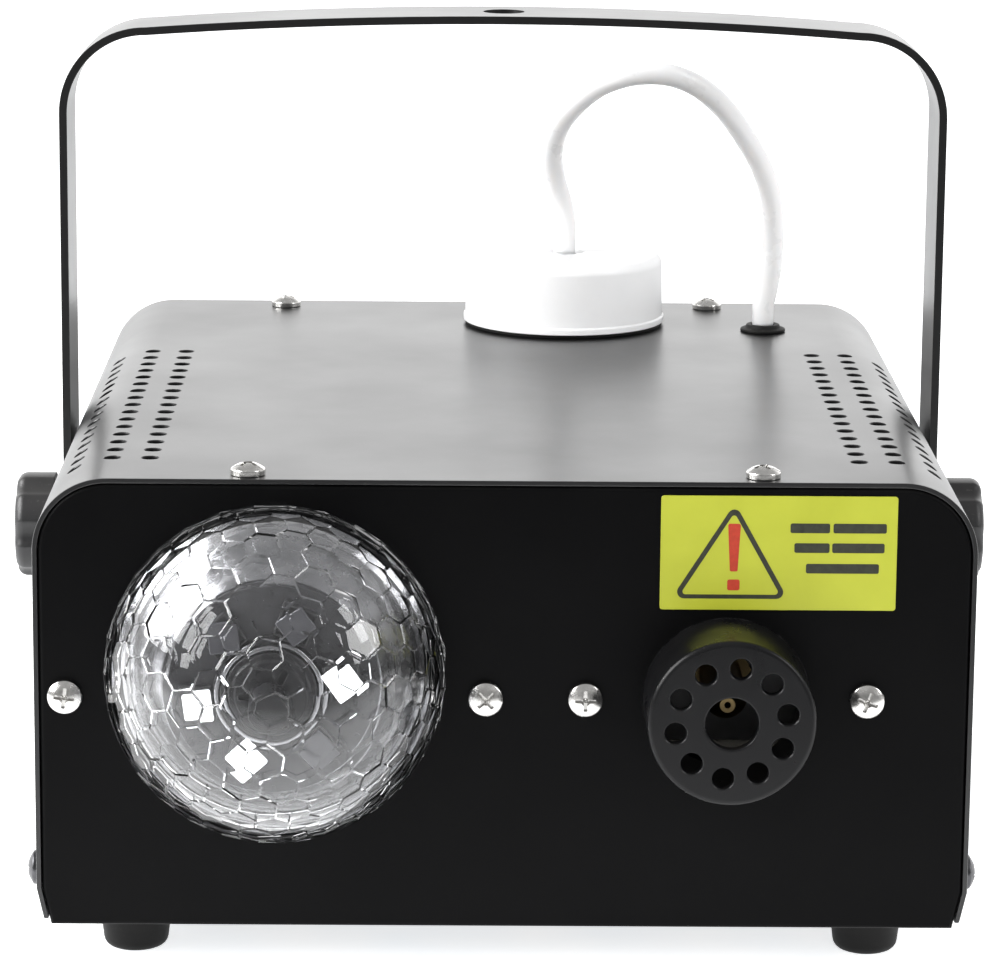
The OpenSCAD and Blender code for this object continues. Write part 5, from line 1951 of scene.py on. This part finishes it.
@dataclass
class HiddenParts:
    """CAD nodes whose shape is right and that only need their finish."""

    nodes: tuple[tuple[Finish, str], ...] = (
        (ZINC, "foot_screws captive_nuts clamp_stud_left clamp_stud_right lamp_bracket "
               "heater_brackets pump_yoke"),
        (RUBBER, "friction_washers"), (NYLON, "clamp_washer_left clamp_washer_right cap_liner"),
        (BRASS, "outlet_nozzle pump_tube board_standoffs"), (CAST_ALLOY, "heater_block"),
        (HEATER_STEEL, "cartridge_heaters thermostat"), (GLASS_FIBRE, "insulation_wrap"),
        (CERAMIC, "thermal_fuse"), (COIL_TAPE, "pump_coil"), (TANK_MILKY, "fluid_tank"),
        (CORE_STEEL, "pump_plunger transformer"), (SPRING_STEEL, "pump_spring button_spring"),
        (HOSE_MILKY, "outlet_tube pickup_tube pump_hose"), (BOARD_GREEN, "control_board"),
        (PART_BLUE, "board_parts"))

    def build(self) -> None:
        """Gives each node its material."""
        for finish, names in self.nodes:
            for name in names.split():
                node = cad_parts[name]
                if not node.material_slots:
                    node.data.materials.append(finish.material())
                for slot in node.material_slots:
                    slot.material = finish.material()
                LOG.info("%s wears %s", name, finish.name)


# --- studio

@dataclass
class Studio:
    """Camera, pale floor and soft light: the camera in millimetres, the rest in metres."""

    camera_place: tuple[float, float, float] = (-13.05, -1073.85, 326.83)
    yaw: float = 0.688
    pitch: float = 12.179
    roll: float = 0.510
    lens: float = 154.14
    floor_reach: float = 9.0
    floor_glow: float = 0.75
    sheet_edge: float = -0.22
    edge_blend: float = 0.25
    backdrop: float = 1.05
    window_power: float = 9.0
    right_power: float = 7.0
    fill_power: float = 30.0
    studio_ground: tuple[float, float, float] = (0.22, 0.22, 0.22)
    front_light: float = 0.3
    back_light: float = 2.15
    upper_light: float = 0.5

    def camera(self) -> None:
        """Long lens in front, a little above the top of the housing."""
        yaw, pitch, roll = (math.radians(a) for a in (self.yaw, self.pitch, self.roll))
        ahead = Vector((math.sin(yaw) * math.cos(pitch), math.cos(yaw) * math.cos(pitch),
                        -math.sin(pitch)))
        level = Vector((math.cos(yaw), -math.sin(yaw), 0))
        upright = level.cross(ahead)
        right = level * math.cos(roll) + upright * math.sin(roll)
        up = upright * math.cos(roll) - level * math.sin(roll)
        data = bpy.data.cameras.new("camera")
        data.lens = self.lens
        data.sensor_width = 36.0
        data.clip_end = 100.0
        camera = bpy.data.objects.new("camera", data)
        place = Matrix((right, up, -ahead)).transposed().to_4x4()
        place.translation = Vector(self.camera_place) * MM
        camera.matrix_world = place
        bpy.context.scene.collection.objects.link(camera)
        bpy.context.scene.camera = camera

    def floor(self) -> None:
        """Wide pale floor: a lit white sheet, mirrored as a greyer ground on the viewer's side."""
        solid = bmesh.new()
        bmesh.ops.create_grid(solid, x_segments=1, y_segments=1, size=self.floor_reach)
        mesh = bpy.data.meshes.new("floor")
        solid.to_mesh(mesh)
        solid.free()
        floor = bpy.data.objects.new("floor", mesh)
        bpy.context.scene.collection.objects.link(floor)
        pale = Finish("floor_pale", (0.93, 0.93, 0.93), 0.7, grain_size=2.0, relief=0.0, tone=0.005,
                      glow=self.floor_glow).material()
        tree = pale.node_tree
        shader = tree.nodes["Principled BSDF"]
        where = add_node(tree, "ShaderNodeTexCoord").outputs["Object"]
        along = add_node(tree, "ShaderNodeSeparateXYZ", {0: where}).outputs["Y"]
        seen = add_node(tree, "ShaderNodeLightPath").outputs["Is Camera Ray"]
        behind = ranged(tree, along, self.sheet_edge - self.edge_blend, self.sheet_edge)
        sheet = sums(tree, "MAXIMUM", seen, behind)
        bright = shader.inputs["Base Color"].links[0].from_socket
        base = mixed(tree, sheet, [*self.studio_ground, 1.0], bright)
        tree.links.new(base, shader.inputs["Base Color"])
        glow = sums(tree, "MULTIPLY", sheet, self.floor_glow)
        tree.links.new(glow, shader.inputs["Emission Strength"])
        mesh.materials.append(pale)

    def world(self) -> None:
        """Soft room light: bright behind and above the object, dimmer on the viewer's side."""
        world = bpy.data.worlds.new("studio")
        bpy.context.scene.world = world
        world.use_nodes = True
        tree = world.node_tree
        way = add_node(tree, "ShaderNodeTexCoord").outputs["Generated"]
        axes = add_node(tree, "ShaderNodeSeparateXYZ", {0: way})
        low = ranged(tree, axes.outputs["Y"], -0.1, 0.85, self.front_light, self.back_light)
        height = ranged(tree, axes.outputs["Z"], 0.35, 0.75)
        light = add_node(tree, "ShaderNodeMix", {0: height, 2: low, 3: self.upper_light},
                         data_type="FLOAT").outputs[0]
        seen = add_node(tree, "ShaderNodeLightPath").outputs["Is Camera Ray"]
        strength = add_node(tree, "ShaderNodeMix", {0: seen, 2: light, 3: self.backdrop},
                            data_type="FLOAT")
        tree.links.new(strength.outputs[0], tree.nodes["Background"].inputs["Strength"])
        tree.nodes["Background"].inputs["Color"].default_value = (1, 1, 1, 1)

    def softbox(self, name: str, place: Sequence[float], target: Sequence[float],
                size: Point2, power: float, mirrored: bool = True) -> None:
        """Adds one rectangular lamp.

        Args:
            name: The lamp's name.
            place: Where it stands, in metres.
            target: What it looks at, in metres.
            size: Width and height in metres.
            power: In watts.
            mirrored: Whether it shows in glossy and clear surfaces.
        """
        data = bpy.data.lights.new(name, "AREA")
        data.shape = "RECTANGLE"
        data.size, data.size_y = size
        data.energy = power
        lamp = bpy.data.objects.new(name, data)
        lamp.location = place
        lamp.rotation_euler = (Vector(target) - Vector(place)).to_track_quat("-Z", "Y").to_euler()
        lamp.visible_glossy = lamp.visible_transmission = mirrored
        bpy.context.scene.collection.objects.link(lamp)

    def lights(self) -> None:
        """A tall window of strips on the left, a smaller lamp on the right and a fill in front."""
        target = (-0.05, -0.1, 0.08)
        for k in range(3):
            self.softbox(f"window_strip_{k}", (-1.05, -0.62 + 0.34 * k, 0.72), target, (0.26, 0.8),
                         self.window_power)
        self.softbox("right_lamp", (1.3, -0.55, 0.9), target, (0.35, 0.7), self.right_power)
        self.softbox("front_fill", (0.1, -2.2, 1.0), target, (1.6, 1.2), self.fill_power,
                     mirrored=False)

    def build(self) -> None:
        """Sets up the floor and the light."""
        self.floor()
        self.world()
        self.lights()
        view = bpy.context.scene.view_settings
        view.view_transform = "Standard"
        view.look = "None"


def main() -> None:
    """Builds every sub-assembly in order."""
    studio = Studio()
    studio.camera()
    SuctionHose().build()
    assemblies = [Cabinet(), Bail(), ClampKnob("left", "left_knob"),
                  ClampKnob("right", "right_knob"), CrystalDome(), Lamp(), FogOutlet(), Sticker(),
                  FillerCap(), RearFittings(), HiddenParts(), studio]
    for assembly in assemblies:
        LOG.info("building %s", type(assembly).__name__)
        assembly.build()


if __name__ == "__main__":
    main()
